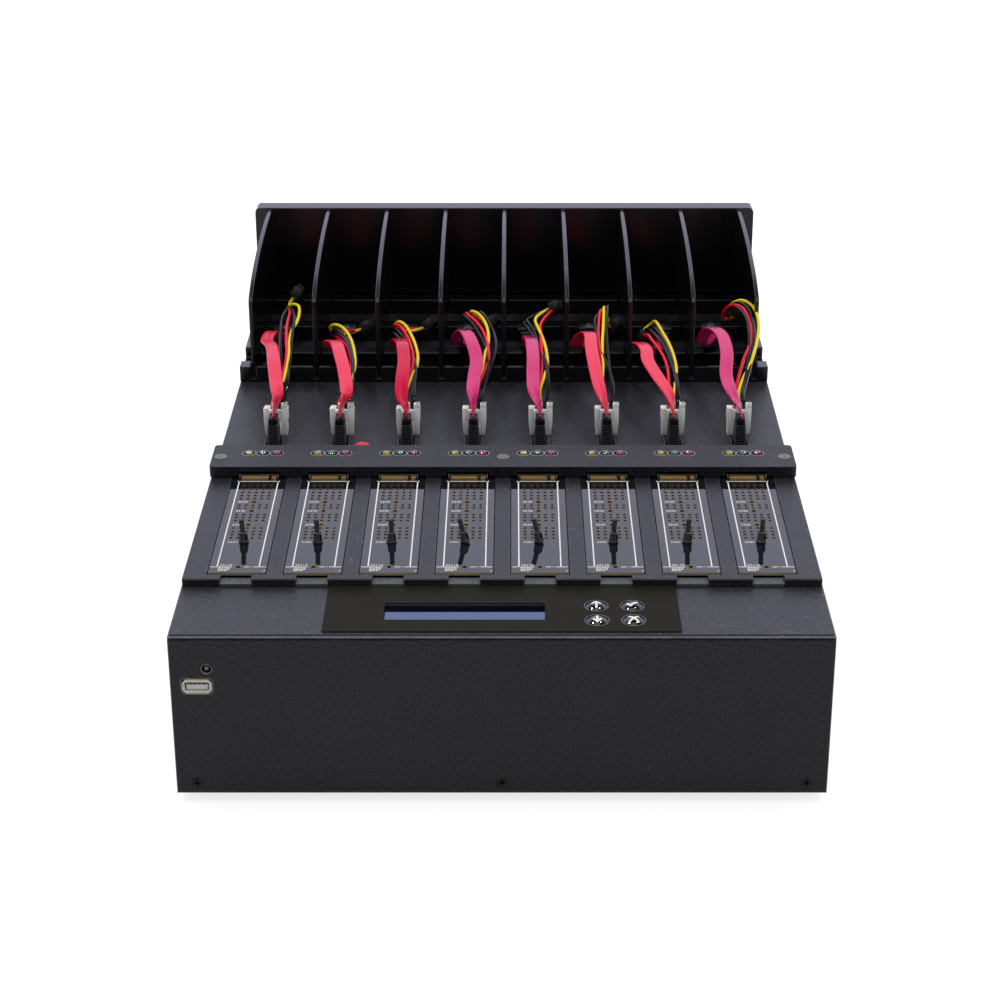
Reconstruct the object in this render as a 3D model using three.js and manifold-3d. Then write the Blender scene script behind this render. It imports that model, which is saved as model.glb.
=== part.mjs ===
// Eight-bay duplicator for M.2 cards and loose drives.
// Millimetres, +Z up, +Y to the rear. While it is built, Y 0 is the case's front face and Z 0 the
// case's underside; the last lines stand the machine on its feet about its own centre.

import * as THREE from 'three';
import { mergeVertices } from 'three/addons/utils/BufferGeometryUtils.js';
import Module from 'manifold-3d';

// Clearances shared by every piece
const fit_gap = 0.3;
const sheet_gap = 0.1;
const overrun = 2;
const hole_sides = 16;

// Case, and the bays that share its width
const case_width = 333;
const bay_count = 8;
const bay_side_margin = 8.5;
const bay_pitch = (case_width - 2 * bay_side_margin) / bay_count;
const case_depth = 496;
const case_height = 90.2;
const case_sheet = 1.2;
const pan_flange = 12;
const panel_return = 3;
const foot_radius = 10;
const foot_sole_radius = 8.5;
const foot_height = 6;
const foot_inset = 28;
const side_vent_count = 9;
const side_vent_width = 3;
const side_vent_length = 34;
const side_vent_pitch = 8;
const side_vent_rear = 60;

// Front port board
const usb_side_distance = 13.5;
const usb_x = usb_side_distance - case_width / 2;
const usb_z = 62.2;
const usb_flange_width = 15.2;
const usb_flange_height = 8;
const usb_flange_radius = 2;
const usb_flange_proud = 0.4;
const usb_flange_thickness = 1;
const usb_shell_width = 13.4;
const usb_shell_height = 5.9;
const usb_mouth_width = 12.2;
const usb_mouth_height = 4.7;
const usb_mouth_depth = 11;
const usb_tongue_width = 11;
const usb_tongue_height = 1.9;
const usb_tongue_lift = 0.7;
const usb_tongue_set_back = 0.8;
const usb_board_set_back = 14;
const usb_board_width = 24;
const usb_board_height = 27;
const usb_board_lift = 5;
const usb_post_radius = 2.2;
const status_light_offset = 5.2;
const status_light_x = usb_x + status_light_offset;
const status_light_z = 72;
const status_light_radius = 1.5;
const status_light_hole = 2.5;
const status_light_recess = 0.7;

// Boards
const board_thickness = 1.6;
const standoff_radius = 2.2;
const post_inset = 3.4;

// Control overlay
const overlay_width = 180;
const overlay_front = 5;
const overlay_thickness = 0.5;
const overlay_radius = 1.5;
const window_x = -19;
const window_y = 26.8;
const window_width = 81.7;
const window_depth = 18.2;

// Display module
const module_width = 116;
const module_depth = 37;
const module_bezel_width = 97;
const module_bezel_depth = 27;
const module_bezel_height = 8.9;
const module_glass_recess = 0.6;

// Keys
const key_left_x = 48;
const key_right_x = 66.4;
const key_front_y = 17.1;
const key_rear_y = 33.1;
const key_names = ['key_down', 'key_cancel', 'key_up', 'key_ok'];
const key_radius = 5.9;
const key_rise = 1.2;
const key_dome = 1.4;
const key_flange = 1.1;
const key_flange_thickness = 1.5;
const key_stem_radius = 2;
const key_travel = 0.8;
const key_stop_gap = 0.1;
const switch_width = 6;
const switch_height = 3.5;
const control_board_margin = 7;

// Tray of M.2 pockets
const tray_side_gap = 0.5;
const tray_width = case_width - 2 * tray_side_gap;
const tray_front = 55.5;
const tray_rear = 215;
const tray_top = 4.7;
const tray_chamfer = 0.6;
const pocket_width = 31;
const pocket_front = 60.4;
const notch_width = 16.4;
const notch_reach = 75;
const notch_depth = 3;

// Adapter boards
const adapter_width = 30;
const adapter_front = 62.6;
const adapter_shoulder = 193;
const adapter_rear = 198.5;
const adapter_tab_width = 24;
const card_datum = 179.3;
const card_lengths = [30, 42, 60, 80, 110];
const card_hole_radius = 1.7;
const connector_width = 22;
const connector_depth = 8.7;
const connector_height = 2.4;
const connector_slot_width = 20;
const connector_slot_height = 1.1;
const connector_slot_depth = 5;
const connector_slot_lift = 0.6;
const connector_key_x = 6.3;
const connector_key_width = 1.2;

// Pull pins
const pin_length = 80;
const pin_height = 13.4;
const pin_radius = 1.35;
const pin_collar_radius = 2.7;
const pin_collar_height = 5.8;
const pin_shoulder = 0.9;
const pin_stem_radius = 0.8;
const pin_leans_degrees = [[-4, 3], [-2, 2], [0, 3], [-14, 4], [-13, 4], [3, 2], [3, 3], [3, 4]];

// Backplane board, sockets and bay lights
const tray_end_wall = 3.5;
const backplane_width = tray_width - 2 * tray_end_wall;
const backplane_front = 190.4;
const backplane_rear = 210.6;
const socket_width = 28;
const socket_front = 193.5;
const socket_rear = 200;
const socket_height = 6.2;
const light_y = 202.9;
const light_pitch = 7.95;
const light_radius = 2.5;
const light_rise = 1.4;
const header_width = 60;
const header_drop = 7;
const header_front = 206;

// Light bar
const bar_overhang = 0.2;
const bar_width = case_width + 2 * bar_overhang;
const bar_front = 183.5;
const bar_rear = 215;
const bar_height = 7;
const bar_wall = 2;
const bar_corner_radius = 2.2;
const bar_mouth_width = 23.6;
const bar_mouth_height = 3.8;
const bar_slot_width = 30.8;
const bar_slot_height = 1.2;
const bar_pitch_shortfall = 0.1;
const bar_bay_pitch = bay_pitch - bar_pitch_shortfall;
const light_hole_radius = 2.9;
const light_cone_radius = 3.7;

// Drive board under the deck
const drive_board_drop = 12.2;
const drive_board_side_gap = 4.5;
const drive_board_width = case_width - 2 * drive_board_side_gap;
const drive_board_front = 236;
const drive_board_rear = 276;
const drive_header_height = 4;
const drive_post_shares = [-0.96, 0, 0.96];

// Data leads
const data_plug_x = 2;
const data_plug_y = 248.3;
const data_plug_width = 7.2;
const data_plug_depth = 15;
const data_plug_top = 15.8;
const data_plug_neck = 3;
const data_rib_count = 6;
const data_rib_pitch = 1.9;
const data_rib_height = 1;
const data_rib_proud = 0.35;
const ribbon_width = 8;
const ribbon_thickness = 1.3;
const ribbon_steps = 12;
const ribbon_untwist_share = 0.2;
const far_data_width = 14;
const far_data_thickness = 5.4;
const far_data_length = 16;

// Power leads
const power_plug_x = 3.2;
const power_plug_front = 258;
const power_plug_width = 15.8;
const power_plug_depth = 9.5;
const power_plug_top = 15.2;
const power_ear_heights = [16.8, 19.8, 19.8];
const power_ear_starts_share = [0, 0.24, 0.75];
const power_ear_ends_share = [0.24, 0.6, 1];
const bundle_radius = 2.2;
const bundle_steps = 14;
const bundle_sides = 8;
const far_power_length = 9;
const far_power_thickness = 6.4;
const far_power_width = 21;
const plug_sink = 0.8;
const deck_hole_gap = 1.1;

// Rack base
const base_width = case_width;
const base_front = 343;
const base_height = 10.2;
const base_lip = 3;
const base_rail_width = 6.5;
const base_corner = 10.8;
const base_gap_reach = 4.5;
const base_gap_height = 3.6;
const cross_rail_width = 10.7;
const cross_rail_ys = [373, 422, 473.5];
const fin_slot_width = 3.1;
const fin_slot_floor = 2.5;

// Drive rack
const fin_thickness = 2.5;
const fin_front = 345.8;
const fin_corner_height = 54.8;
const fin_corner_radius = 2.5;
const fin_crown = [[371, 62], [409.7, 67.6], [446, 69.6]];
const rack_height = 70.8;
const rack_overhang = 1.5;
const rack_width = case_width + 2 * rack_overhang;
const rack_face = 482;
const rack_rim_depth = 12;
const rack_sheet = 2.5;
const rack_corner_radius = 3.4;

// Controller board on the pan
const controller_width = 190;
const controller_front = 70;
const controller_rear = 200;
const controller_lift = 6;
const heatsink_width = 40;
const heatsink_depth = 40;
const heatsink_height = 14;
const heatsink_base = 4;
const heatsink_fin_count = 8;
const heatsink_fin_thickness = 1.6;
const heatsink_x = 30;
const chip_width = 24;
const chip_height = 3;
const chip_xs = [-60, -15];

// Power supply
const supply_width = 81.5;
const supply_side_distance = 15;
const supply_x = case_width / 2 - supply_side_distance - supply_width;
const supply_length = 150;
const supply_height = 40.5;
const supply_window_margin = 3.5;
const supply_vent_count = 6;
const supply_vent_width = 2.2;
const supply_vent_depth = 4;
const supply_vent_x = 62;
const supply_vent_length = 14;

// Inlet and rocker
const inlet_start = 7;
const inlet_width = 51;
const inlet_height = 25;
const inlet_depth = 21;
const inlet_proud = 1.2;
const socket_mouth_width = 24.4;
const socket_mouth_height = 16.4;
const socket_mouth_depth = 15.5;
const socket_mouth_x = 15.2;
const socket_mouth_radius = 3;
const prong_width = 2;
const prong_height = 4;
const prong_length = 13;
const prong_spread = 7;
const prong_drop = 2;
const rocker_x = 40.5;
const rocker_width = 11.4;
const rocker_reach = 8.5;
const rocker_waist = 1;
const rocker_edge = 1.2;
const rocker_belly = 4.6;
const rocker_belly_reach = 3;
const rocker_pocket_gap = 0.8;
const rocker_pocket_depth = 9;
const rocker_pivot_depth = 1.6;
const rocker_degrees = 9;

// Fan
const fan_side_distance = 91.5;
const fan_x = fan_side_distance - case_width / 2;
const fan_size = 80;
const fan_depth = 25;
const fan_lift = 3.3;
const fan_corner_radius = 4;
const fan_bore = 38;
const fan_hub_radius = 17;
const fan_mount_thickness = 3;
const fan_strut_width = 3.5;
const fan_tip_gap = 1.6;
const fan_blade_count = 7;
const fan_blade_chord = 21;
const fan_blade_thickness = 1.4;
const fan_blade_degrees = 34;
const fan_rotor_depth = 19;
const grille_slot_count = 8;
const grille_slot_height = 4.6;
const grille_slot_pitch = 8.6;
const grille_rib = 5;
const grille_radius = 36;

// Routes of the leads: across from the bay's middle, back from the front face, up from the deck
const ribbon_routes = [
  [[3, 251, 20], [4, 257, 26.5], [1.5, 275, 30.7], [-1, 293, 34.1], [-3.8, 313, 35.2], [-9.8, 328, 33.6],
    [-8.1, 345, 32], [-6.5, 354, 29.5], [-5, 364, 22.5], [-4, 375, 17], [-4, 385, 15.5]],
  [[2.5, 251, 20], [5.3, 257, 26.5], [3.8, 275, 30.7], [-0.3, 298, 34.5], [-3.8, 320, 35.4],
    [-10.3, 332, 31.5], [-12.1, 340, 24.5], [-10, 351, 19], [-7, 364, 17], [-5, 376, 16], [-4, 385, 15.5]],
  [[1.6, 251, 20], [-0.8, 255, 24.4], [-1.3, 270, 30.4], [-1, 292, 34.5], [-3.6, 316, 36.6],
    [-8.7, 332, 32.1], [-12.6, 342, 26], [-11.5, 350, 20.5], [-8, 363, 17.5], [-5, 376, 16], [-4, 385, 15.5]],
  [[2.1, 251, 20], [1.5, 257, 26.5], [2.2, 275, 30.7], [3.3, 293, 34.1], [-0.2, 315, 37.3],
    [-6.1, 335, 36.2], [-10.7, 345, 28.4], [-12, 351, 22.3], [-10.5, 359, 18.2], [-7, 370, 16.3], [-4, 385, 15.5]],
  [[1.8, 251, 20], [-1.3, 257, 26.5], [-2, 275, 30.7], [-1.8, 297, 34.9], [-3.3, 322, 35.9],
    [-6, 334, 32.5], [-6.5, 342, 27.1], [-6, 351, 21], [-5, 362, 17.5], [-4, 375, 16], [-4, 385, 15.5]],
  [[1.6, 251, 20], [-1.1, 257, 26.5], [-3.7, 277, 32.2], [-5.5, 302, 36.4], [-6.6, 330, 38.1],
    [-11.4, 342, 30.8], [-13.4, 349, 22.5], [-12, 356, 18.5], [-8.5, 366, 16.5], [-5, 377, 15.8], [-4, 387, 15.5]],
  [[1.7, 251, 20], [-0.4, 257, 26.5], [-6.3, 275, 30.7], [-11.1, 295, 33.3], [-11.4, 308, 34.9],
    [-13.4, 320, 34.2], [-15.6, 332, 30.3], [-12, 343, 24], [-2.5, 355, 17.8], [2.5, 368, 16], [3, 385, 15.5]],
  [[1.8, 251, 20], [-2.3, 257, 26.5], [-4.6, 275, 30.7], [-2.4, 302, 36.4], [-3.9, 327, 38.8],
    [-8.5, 340, 37.4], [-12.5, 350, 28.9], [-13.4, 357, 20.5], [-11, 366, 17], [-7, 376, 16], [-4, 388, 15.5]],
];
const bundle_routes = [
  [[6.2, 263, 20], [7.6, 282, 28], [6.4, 300, 34.9], [5.6, 322, 40.6], [4.6, 345, 43.6], [4.7, 358, 44.2],
    [5.6, 368, 46.9]],
  [[5.6, 263, 19.5], [8.6, 282, 24.6], [7.2, 302, 29.4], [2.3, 323, 33.4], [-4.4, 339, 36.6], [-5, 352, 35],
    [2.4, 360, 29.5], [8.3, 367, 26.2]],
  [[5.6, 263, 19.5], [7.4, 282, 24.6], [7, 302, 29.4], [3.4, 319, 33.1], [-3.7, 338, 37.6], [-5.1, 352, 35.3],
    [1.4, 360, 28.9], [8.5, 369, 26.4]],
  [[6.4, 263, 19.5], [9.4, 282, 25.2], [11.9, 302, 32.4], [9.6, 322, 38.2], [3.6, 344, 42.8], [3.6, 354, 42.4],
    [5.6, 361, 38.4], [8.8, 366, 29.8]],
  [[6.2, 263, 19.5], [7, 282, 25.2], [5.8, 300, 30.8], [4, 320, 36.8], [0.4, 344, 41.9], [4.4, 357, 42.2],
    [8.6, 367, 39.6]],
  [[6, 263, 19.5], [6.3, 277, 23.4], [4.6, 297, 29.4], [3.6, 318, 36.2], [3.6, 344, 42.4], [3.8, 355, 42.6],
    [5.8, 363, 37.6], [8.4, 368, 27.5]],
  [[5.6, 263, 19.5], [5, 278, 23], [1.8, 300, 29.1], [-1.5, 320, 33.6], [-4.8, 340, 36.4], [-6.4, 351, 34.4],
    [-10.2, 360, 28.1]],
  [[5.6, 263, 19.5], [7.2, 277, 23.4], [11.9, 302, 32.9], [13.9, 325, 39.4], [12.2, 348, 44.4], [7.9, 361, 43.6],
    [4.1, 370, 36.2], [7.4, 377, 31]],
];
const far_power_tilts_degrees = [50, 27, 34, 30, 20, 25, -90, 30];
const far_power_broad = new THREE.Vector3(0, 0.9, -0.43);
const far_power_up = new THREE.Vector3(0, 0.43, 0.9);

// Finishes
const black_steel = new THREE.MeshStandardMaterial({ color: 0x1d1c20, roughness: 0.6, metalness: 0.3 });
const panel_steel = new THREE.MeshStandardMaterial({ color: 0x161618, roughness: 0.55, metalness: 0.3 });
const black_gloss = new THREE.MeshStandardMaterial({ color: 0x14130f, roughness: 0.15, metalness: 0 });
const black_plastic = new THREE.MeshStandardMaterial({ color: 0x0e0e0f, roughness: 0.5, metalness: 0 });
const rack_plastic = new THREE.MeshStandardMaterial({ color: 0x111115, roughness: 0.35, metalness: 0 });
const rubber = new THREE.MeshStandardMaterial({ color: 0x0a0a0a, roughness: 0.9, metalness: 0 });
const board_green = new THREE.MeshStandardMaterial({ color: 0x0f3a22, roughness: 0.4, metalness: 0 });
const board_black = new THREE.MeshStandardMaterial({ color: 0x202027, roughness: 0.2, metalness: 0 });
const bare_steel = new THREE.MeshStandardMaterial({ color: 0xb9b8b2, roughness: 0.35, metalness: 1 });
const display_glass = new THREE.MeshStandardMaterial({ color: 0x5a63b0, roughness: 0.1, metalness: 0 });
const ribbon_red = new THREE.MeshStandardMaterial({ color: 0xdf1e46, roughness: 0.35, metalness: 0 });
const ribbon_magenta = new THREE.MeshStandardMaterial({ color: 0xc21c66, roughness: 0.35, metalness: 0 });
const wire_white = new THREE.MeshStandardMaterial({ color: 0xd9d8cc, roughness: 0.5, metalness: 0 });

const wasm = await Module();
wasm.setup();

// Solids from three.js geometry, and back

function solidOf(geometry) {
  const bare = geometry.clone();
  bare.deleteAttribute('normal');
  bare.deleteAttribute('uv');
  const merged = mergeVertices(bare);
  const corners = [];
  const index = merged.index.array;
  for (let k = 0; k < index.length; k += 3) {
    const [a, b, c] = [index[k], index[k + 1], index[k + 2]];
    if (a !== b && b !== c && c !== a) corners.push(a, b, c);
  }
  const mesh = new wasm.Mesh({
    numProp: 3,
    vertProperties: merged.attributes.position.array,
    triVerts: new Uint32Array(corners),
  });
  return new wasm.Manifold(mesh);
}

function geometryOf(solid) {
  const mesh = solid.getMesh();
  const geometry = new THREE.BufferGeometry();
  geometry.setAttribute('position', new THREE.BufferAttribute(mesh.vertProperties, 3));
  geometry.setIndex(new THREE.BufferAttribute(mesh.triVerts, 1));
  geometry.computeVertexNormals();
  return geometry;
}

function join(...solids) {
  return solids.flat().reduce((whole, solid) => whole.add(solid));
}

function cut(body, ...tools) {
  return tools.flat().reduce((left, tool) => left.subtract(tool), body);
}

// Basic shapes

function block(x0, x1, y0, y1, z0, z1) {
  const box = new THREE.BoxGeometry(x1 - x0, y1 - y0, z1 - z0);
  box.translate((x0 + x1) / 2, (y0 + y1) / 2, (z0 + z1) / 2);
  return solidOf(box);
}

function blockAt(x, width, y, depth, z0, z1) {
  return block(x - width / 2, x + width / 2, y - depth / 2, y + depth / 2, z0, z1);
}

function roundedOutline(x0, x1, y0, y1, radius) {
  const outline = new THREE.Shape();
  outline.moveTo(x0 + radius, y0);
  outline.lineTo(x1 - radius, y0);
  outline.absarc(x1 - radius, y0 + radius, radius, -Math.PI / 2, 0, false);
  outline.lineTo(x1, y1 - radius);
  outline.absarc(x1 - radius, y1 - radius, radius, 0, Math.PI / 2, false);
  outline.lineTo(x0 + radius, y1);
  outline.absarc(x0 + radius, y1 - radius, radius, Math.PI / 2, Math.PI, false);
  outline.lineTo(x0, y0 + radius);
  outline.absarc(x0 + radius, y0 + radius, radius, Math.PI, Math.PI * 3 / 2, false);
  return outline;
}

// An outline drawn in X and Y, raised from z0 to z1
function slab(outline, z0, z1, corner_steps = 4) {
  const geometry = new THREE.ExtrudeGeometry(outline, {
    depth: z1 - z0, bevelEnabled: false, curveSegments: corner_steps,
  });
  geometry.translate(0, 0, z0);
  return solidOf(geometry);
}

// An outline drawn in X and Z, running from y0 back to y1
function panel(outline, y0, y1, corner_steps = 4) {
  const geometry = new THREE.ExtrudeGeometry(outline, {
    depth: y1 - y0, bevelEnabled: false, curveSegments: corner_steps,
  });
  geometry.rotateX(Math.PI / 2);
  geometry.translate(0, y1, 0);
  return solidOf(geometry);
}

// An outline drawn in Y and Z, running from x0 across to x1
function web(outline, x0, x1, corner_steps = 4) {
  const geometry = new THREE.ExtrudeGeometry(outline, {
    depth: x1 - x0, bevelEnabled: false, curveSegments: corner_steps,
  });
  geometry.applyMatrix4(new THREE.Matrix4().makeBasis(
    new THREE.Vector3(0, 1, 0), new THREE.Vector3(0, 0, 1), new THREE.Vector3(1, 0, 0),
  ));
  geometry.translate(x0, 0, 0);
  return solidOf(geometry);
}

// A profile of [radius, height] pairs, from the axis round to the axis, turned about Z
function turned(profile, sides) {
  const geometry = new THREE.LatheGeometry(profile.map(([r, z]) => new THREE.Vector2(r, z)), sides);
  geometry.rotateX(Math.PI / 2);
  return solidOf(geometry);
}

function rod(x, y, z0, z1, radius, sides = 12) {
  return turned([[0, z0], [radius, z0], [radius, z1], [0, z1]], sides).translate([x, y, 0]);
}

// A rod that lies along Y
function dowel(x, z, y0, y1, radius, sides = 12) {
  return rod(0, 0, -y1, -y0, radius, sides).rotate([90, 0, 0]).translate([x, 0, z]);
}

// Rings of points, one after the other, skinned and capped
function loft(rings) {
  const count = rings[0].length;
  const positions = rings.flat().flatMap((point) => point.toArray());
  const corners = [];
  for (let r = 0; r + 1 < rings.length; r += 1) {
    for (let k = 0; k < count; k += 1) {
      const next = (k + 1) % count;
      const [a, b] = [r * count + k, r * count + next];
      const [c, d] = [a + count, b + count];
      corners.push(a, b, d, a, d, c);
    }
  }
  const last = (rings.length - 1) * count;
  for (let k = 1; k + 1 < count; k += 1) {
    corners.push(0, k + 1, k);
    corners.push(last, last + k, last + k + 1);
  }
  const geometry = new THREE.BufferGeometry();
  geometry.setAttribute('position', new THREE.Float32BufferAttribute(positions, 3));
  geometry.setIndex(corners);
  return solidOf(geometry);
}

// Heights and places that several pieces share
const deck_top = case_height;
const deck_under = case_height - case_sheet;
const half_width = case_width / 2;
const bays = Array.from({ length: bay_count }, (_, i) => i - (bay_count - 1) / 2);
const bay_centre = (bay) => bay * bay_pitch;
const hanging_board_top = deck_under - fit_gap - module_bezel_height;
const tray_under = deck_top + fit_gap;
const tray_face = deck_top + tray_top;
const adapter_under = tray_face - board_thickness;
const pocket_floor = adapter_under - fit_gap;
const adapter_middle = tray_face - board_thickness / 2;
const backplane_top = tray_under + board_thickness;
const bar_under = tray_face + fit_gap;
const bar_top = tray_face + bar_height;
const drive_board_top = deck_top - drive_board_drop;
const drive_header_top = drive_board_top + drive_header_height;
const rear_face = case_depth - case_sheet;
const fins = Array.from({ length: bay_count + 1 }, (_, i) => (i - bay_count / 2) * bay_pitch);
const supply_front = rear_face - fit_gap - supply_length;
const supply_floor = case_sheet + fit_gap;
const inlet_middle_z = supply_floor + supply_height / 2;
const fan_z = case_sheet + fan_lift + fan_size / 2;
const keys = [key_front_y, key_rear_y].flatMap((y) => [key_left_x, key_right_x].map((x) => [x, y]));

// Case

function basePan() {
  const front = case_sheet + fit_gap;
  const side = half_width - case_sheet - fit_gap;
  const floor = block(-half_width, half_width, front, case_depth, 0, case_sheet);
  const rear = block(-half_width, half_width, rear_face, case_depth, 0, deck_under - fit_gap);
  const lip = block(-side, side, front, front + case_sheet, 0, pan_flange);
  const sides = [-1, 1].map((hand) => {
    const outer = hand * side;
    const inner = outer - hand * case_sheet;
    return block(Math.min(outer, inner), Math.max(outer, inner), front, rear_face, 0, pan_flange);
  });
  return cut(join(floor, rear, lip, sides), grilleSlots(), supplyWindow());
}

function grilleSlots() {
  const slots = [];
  for (let row = 0; row < grille_slot_count; row += 1) {
    const rise = (row - (grille_slot_count - 1) / 2) * grille_slot_pitch;
    const reach = Math.sqrt(grille_radius ** 2 - (Math.abs(rise) + grille_slot_height / 2) ** 2);
    const z0 = fan_z + rise - grille_slot_height / 2;
    const inner = grille_rib / 2;
    for (const [from, to] of [[-reach, -inner], [inner, reach]]) {
      if (to - from > grille_rib) {
        slots.push(block(fan_x + from, fan_x + to, rear_face - overrun, case_depth + overrun, z0,
          z0 + grille_slot_height));
      }
    }
  }
  return slots;
}

function supplyWindow() {
  return block(supply_x + supply_window_margin, supply_x + supply_width - supply_window_margin,
    rear_face - overrun, case_depth + overrun,
    supply_floor + supply_window_margin, supply_floor + supply_height - supply_window_margin);
}

function topCover() {
  const start = case_sheet + fit_gap;
  const side_rear = rear_face - fit_gap;
  const deck = block(-half_width, half_width, 0, case_depth, deck_under, deck_top);
  const sides = [-1, 1].map((hand) => {
    const outer = hand * half_width;
    const inner = outer - hand * case_sheet;
    return block(Math.min(outer, inner), Math.max(outer, inner), start, side_rear, start, deck_top);
  });
  const reach = [deck_under - overrun, deck_top + overrun];
  const window = blockAt(window_x, window_width + 2 * fit_gap, window_y, window_depth + 2 * fit_gap, ...reach);
  const key_holes = keys.map(([x, y]) => rod(x, y, ...reach, key_radius + fit_gap, hole_sides));
  const header = block(-header_width / 2 - fit_gap, header_width / 2 + fit_gap,
    header_front - fit_gap, backplane_rear, ...reach);
  const plug_holes = bays.flatMap((bay) => plugHoles(bay_centre(bay), ...reach));
  return cut(join(deck, sides), window, key_holes, header, plug_holes, sideVents());
}

function plugHoles(x, z0, z1) {
  const meet = power_plug_front - fit_gap;
  return [
    block(x + data_plug_x - data_plug_width / 2 - deck_hole_gap, x + data_plug_x + data_plug_width / 2 + deck_hole_gap,
      data_plug_y - data_plug_depth / 2 - deck_hole_gap, meet, z0, z1),
    block(x + power_plug_x - power_plug_width / 2 - deck_hole_gap, x + power_plug_x + power_plug_width / 2 + deck_hole_gap,
      meet - deck_hole_gap, power_plug_front + power_plug_depth + deck_hole_gap, z0, z1),
  ];
}

function sideVents() {
  const middle = case_height / 2;
  return Array.from({ length: side_vent_count }, (_, i) => {
    const y = case_depth - side_vent_rear - i * side_vent_pitch;
    return block(-half_width - overrun, half_width + overrun, y - side_vent_width / 2, y + side_vent_width / 2,
      middle - side_vent_length / 2, middle + side_vent_length / 2);
  });
}

function frontPanel() {
  const top = deck_under - fit_gap;
  const face = block(-half_width, half_width, 0, case_sheet, 0, top);
  const inner = half_width - case_sheet - fit_gap;
  const shelf = block(-inner, inner, 0, case_sheet + panel_return, top - case_sheet, top);
  const port = panel(roundedOutline(
    usb_x - usb_flange_width / 2 - fit_gap, usb_x + usb_flange_width / 2 + fit_gap,
    usb_z - usb_flange_height / 2 - fit_gap, usb_z + usb_flange_height / 2 + fit_gap, usb_flange_radius,
  ), -overrun, case_sheet + overrun);
  const light = dowel(status_light_x, status_light_z, -overrun, case_sheet + overrun, status_light_hole, hole_sides);
  return cut(join(face, shelf), port, light);
}

function foot() {
  return turned([[0, 0], [foot_sole_radius, 0], [foot_radius, foot_height], [0, foot_height]], 16);
}

// Front port, with its light, on one upright board
function usbBoard() {
  const back = usb_board_set_back;
  const left = usb_x - usb_board_width / 2;
  const right = usb_x + usb_board_width / 2;
  const low = usb_z + usb_board_lift - usb_board_height / 2;
  const high = usb_z + usb_board_lift + usb_board_height / 2;
  const board = block(left, right, back, back + board_thickness, low, high);
  const flange = panel(roundedOutline(
    usb_x - usb_flange_width / 2, usb_x + usb_flange_width / 2,
    usb_z - usb_flange_height / 2, usb_z + usb_flange_height / 2, usb_flange_radius,
  ), -usb_flange_proud, usb_flange_thickness);
  const shell = block(usb_x - usb_shell_width / 2, usb_x + usb_shell_width / 2, 0, back + board_thickness / 2,
    usb_z - usb_shell_height / 2, usb_z + usb_shell_height / 2);
  const mouth = block(usb_x - usb_mouth_width / 2, usb_x + usb_mouth_width / 2, -overrun, usb_mouth_depth,
    usb_z - usb_mouth_height / 2, usb_z + usb_mouth_height / 2);
  const tongue_z = usb_z + usb_tongue_lift;
  const tongue = block(usb_x - usb_tongue_width / 2, usb_x + usb_tongue_width / 2, usb_tongue_set_back,
    usb_mouth_depth + usb_tongue_set_back, tongue_z - usb_tongue_height / 2, tongue_z + usb_tongue_height / 2);
  const light = dowel(status_light_x, status_light_z, status_light_recess, back + board_thickness / 2,
    status_light_radius, 10);
  const posts = [left, right].map((edge) => {
    const x = edge + Math.sign(usb_x - edge) * post_inset;
    return dowel(x, high - post_inset, case_sheet + fit_gap, back + board_thickness / 2, usb_post_radius, 8);
  });
  return join(cut(join(board, flange, shell), mouth), tongue, light, posts);
}

// Controls

function controlOverlay() {
  const rear = tray_front - fit_gap;
  const z0 = deck_top + sheet_gap;
  const z1 = z0 + overlay_thickness;
  const sheet = slab(roundedOutline(-overlay_width / 2, overlay_width / 2, overlay_front, rear, overlay_radius), z0, z1, 2);
  const window = blockAt(window_x, window_width, window_y, window_depth, z0 - overrun, z1 + overrun);
  const key_holes = keys.map(([x, y]) => rod(x, y, z0 - overrun, z1 + overrun, key_radius + fit_gap, hole_sides));
  return cut(sheet, window, key_holes);
}

// A board hung under the deck by posts at its corners
function hungBoard(x0, x1, y0, y1) {
  const board = block(x0, x1, y0, y1, hanging_board_top - board_thickness, hanging_board_top);
  const posts = [x0 + post_inset, x1 - post_inset].flatMap((x) => (
    [y0 + post_inset, y1 - post_inset].map((y) => (
      rod(x, y, hanging_board_top - board_thickness / 2, deck_under - fit_gap, standoff_radius, 8)
    ))));
  return join(board, posts);
}

function displayModule() {
  const board = hungBoard(window_x - module_width / 2, window_x + module_width / 2,
    window_y - module_depth / 2, window_y + module_depth / 2);
  const top = deck_under - fit_gap;
  const bezel = blockAt(window_x, module_bezel_width, window_y, module_bezel_depth,
    hanging_board_top - board_thickness / 2, top);
  const glass = blockAt(window_x, window_width + 2 * fit_gap, window_y, window_depth + 2 * fit_gap,
    top - module_glass_recess, top + overrun);
  return cut(join(board, bezel), glass);
}

function controlBoard() {
  const reach = key_radius + control_board_margin;
  const start = Math.max(key_left_x - reach, window_x + module_width / 2 + overrun);
  const board = hungBoard(start, key_right_x + reach, key_front_y - reach, key_rear_y + reach);
  const switches = keys.map(([x, y]) => blockAt(x, switch_width, y, switch_width,
    hanging_board_top - board_thickness / 2, hanging_board_top + switch_height));
  return join(board, switches);
}

// A domed key with its flange under the deck and its stem over the switch
function key() {
  const flange_top = deck_under - fit_gap;
  const flange_bottom = flange_top - key_flange_thickness;
  const stem_bottom = hanging_board_top + switch_height + key_travel + key_stop_gap;
  const shoulder = deck_top + key_rise;
  const crown_steps = 2;
  const crown = Array.from({ length: crown_steps + 1 }, (_, i) => {
    const turn = (i / crown_steps) * Math.PI / 2;
    return [key_radius * Math.cos(turn), shoulder + key_dome * Math.sin(turn)];
  });
  crown[crown_steps][0] = 0;
  return turned([[0, stem_bottom], [key_stem_radius, stem_bottom], [key_stem_radius, flange_bottom],
    [key_radius + key_flange, flange_bottom], [key_radius + key_flange, flange_top], [key_radius, flange_top],
    ...crown], 14);
}

// M.2 side

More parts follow.
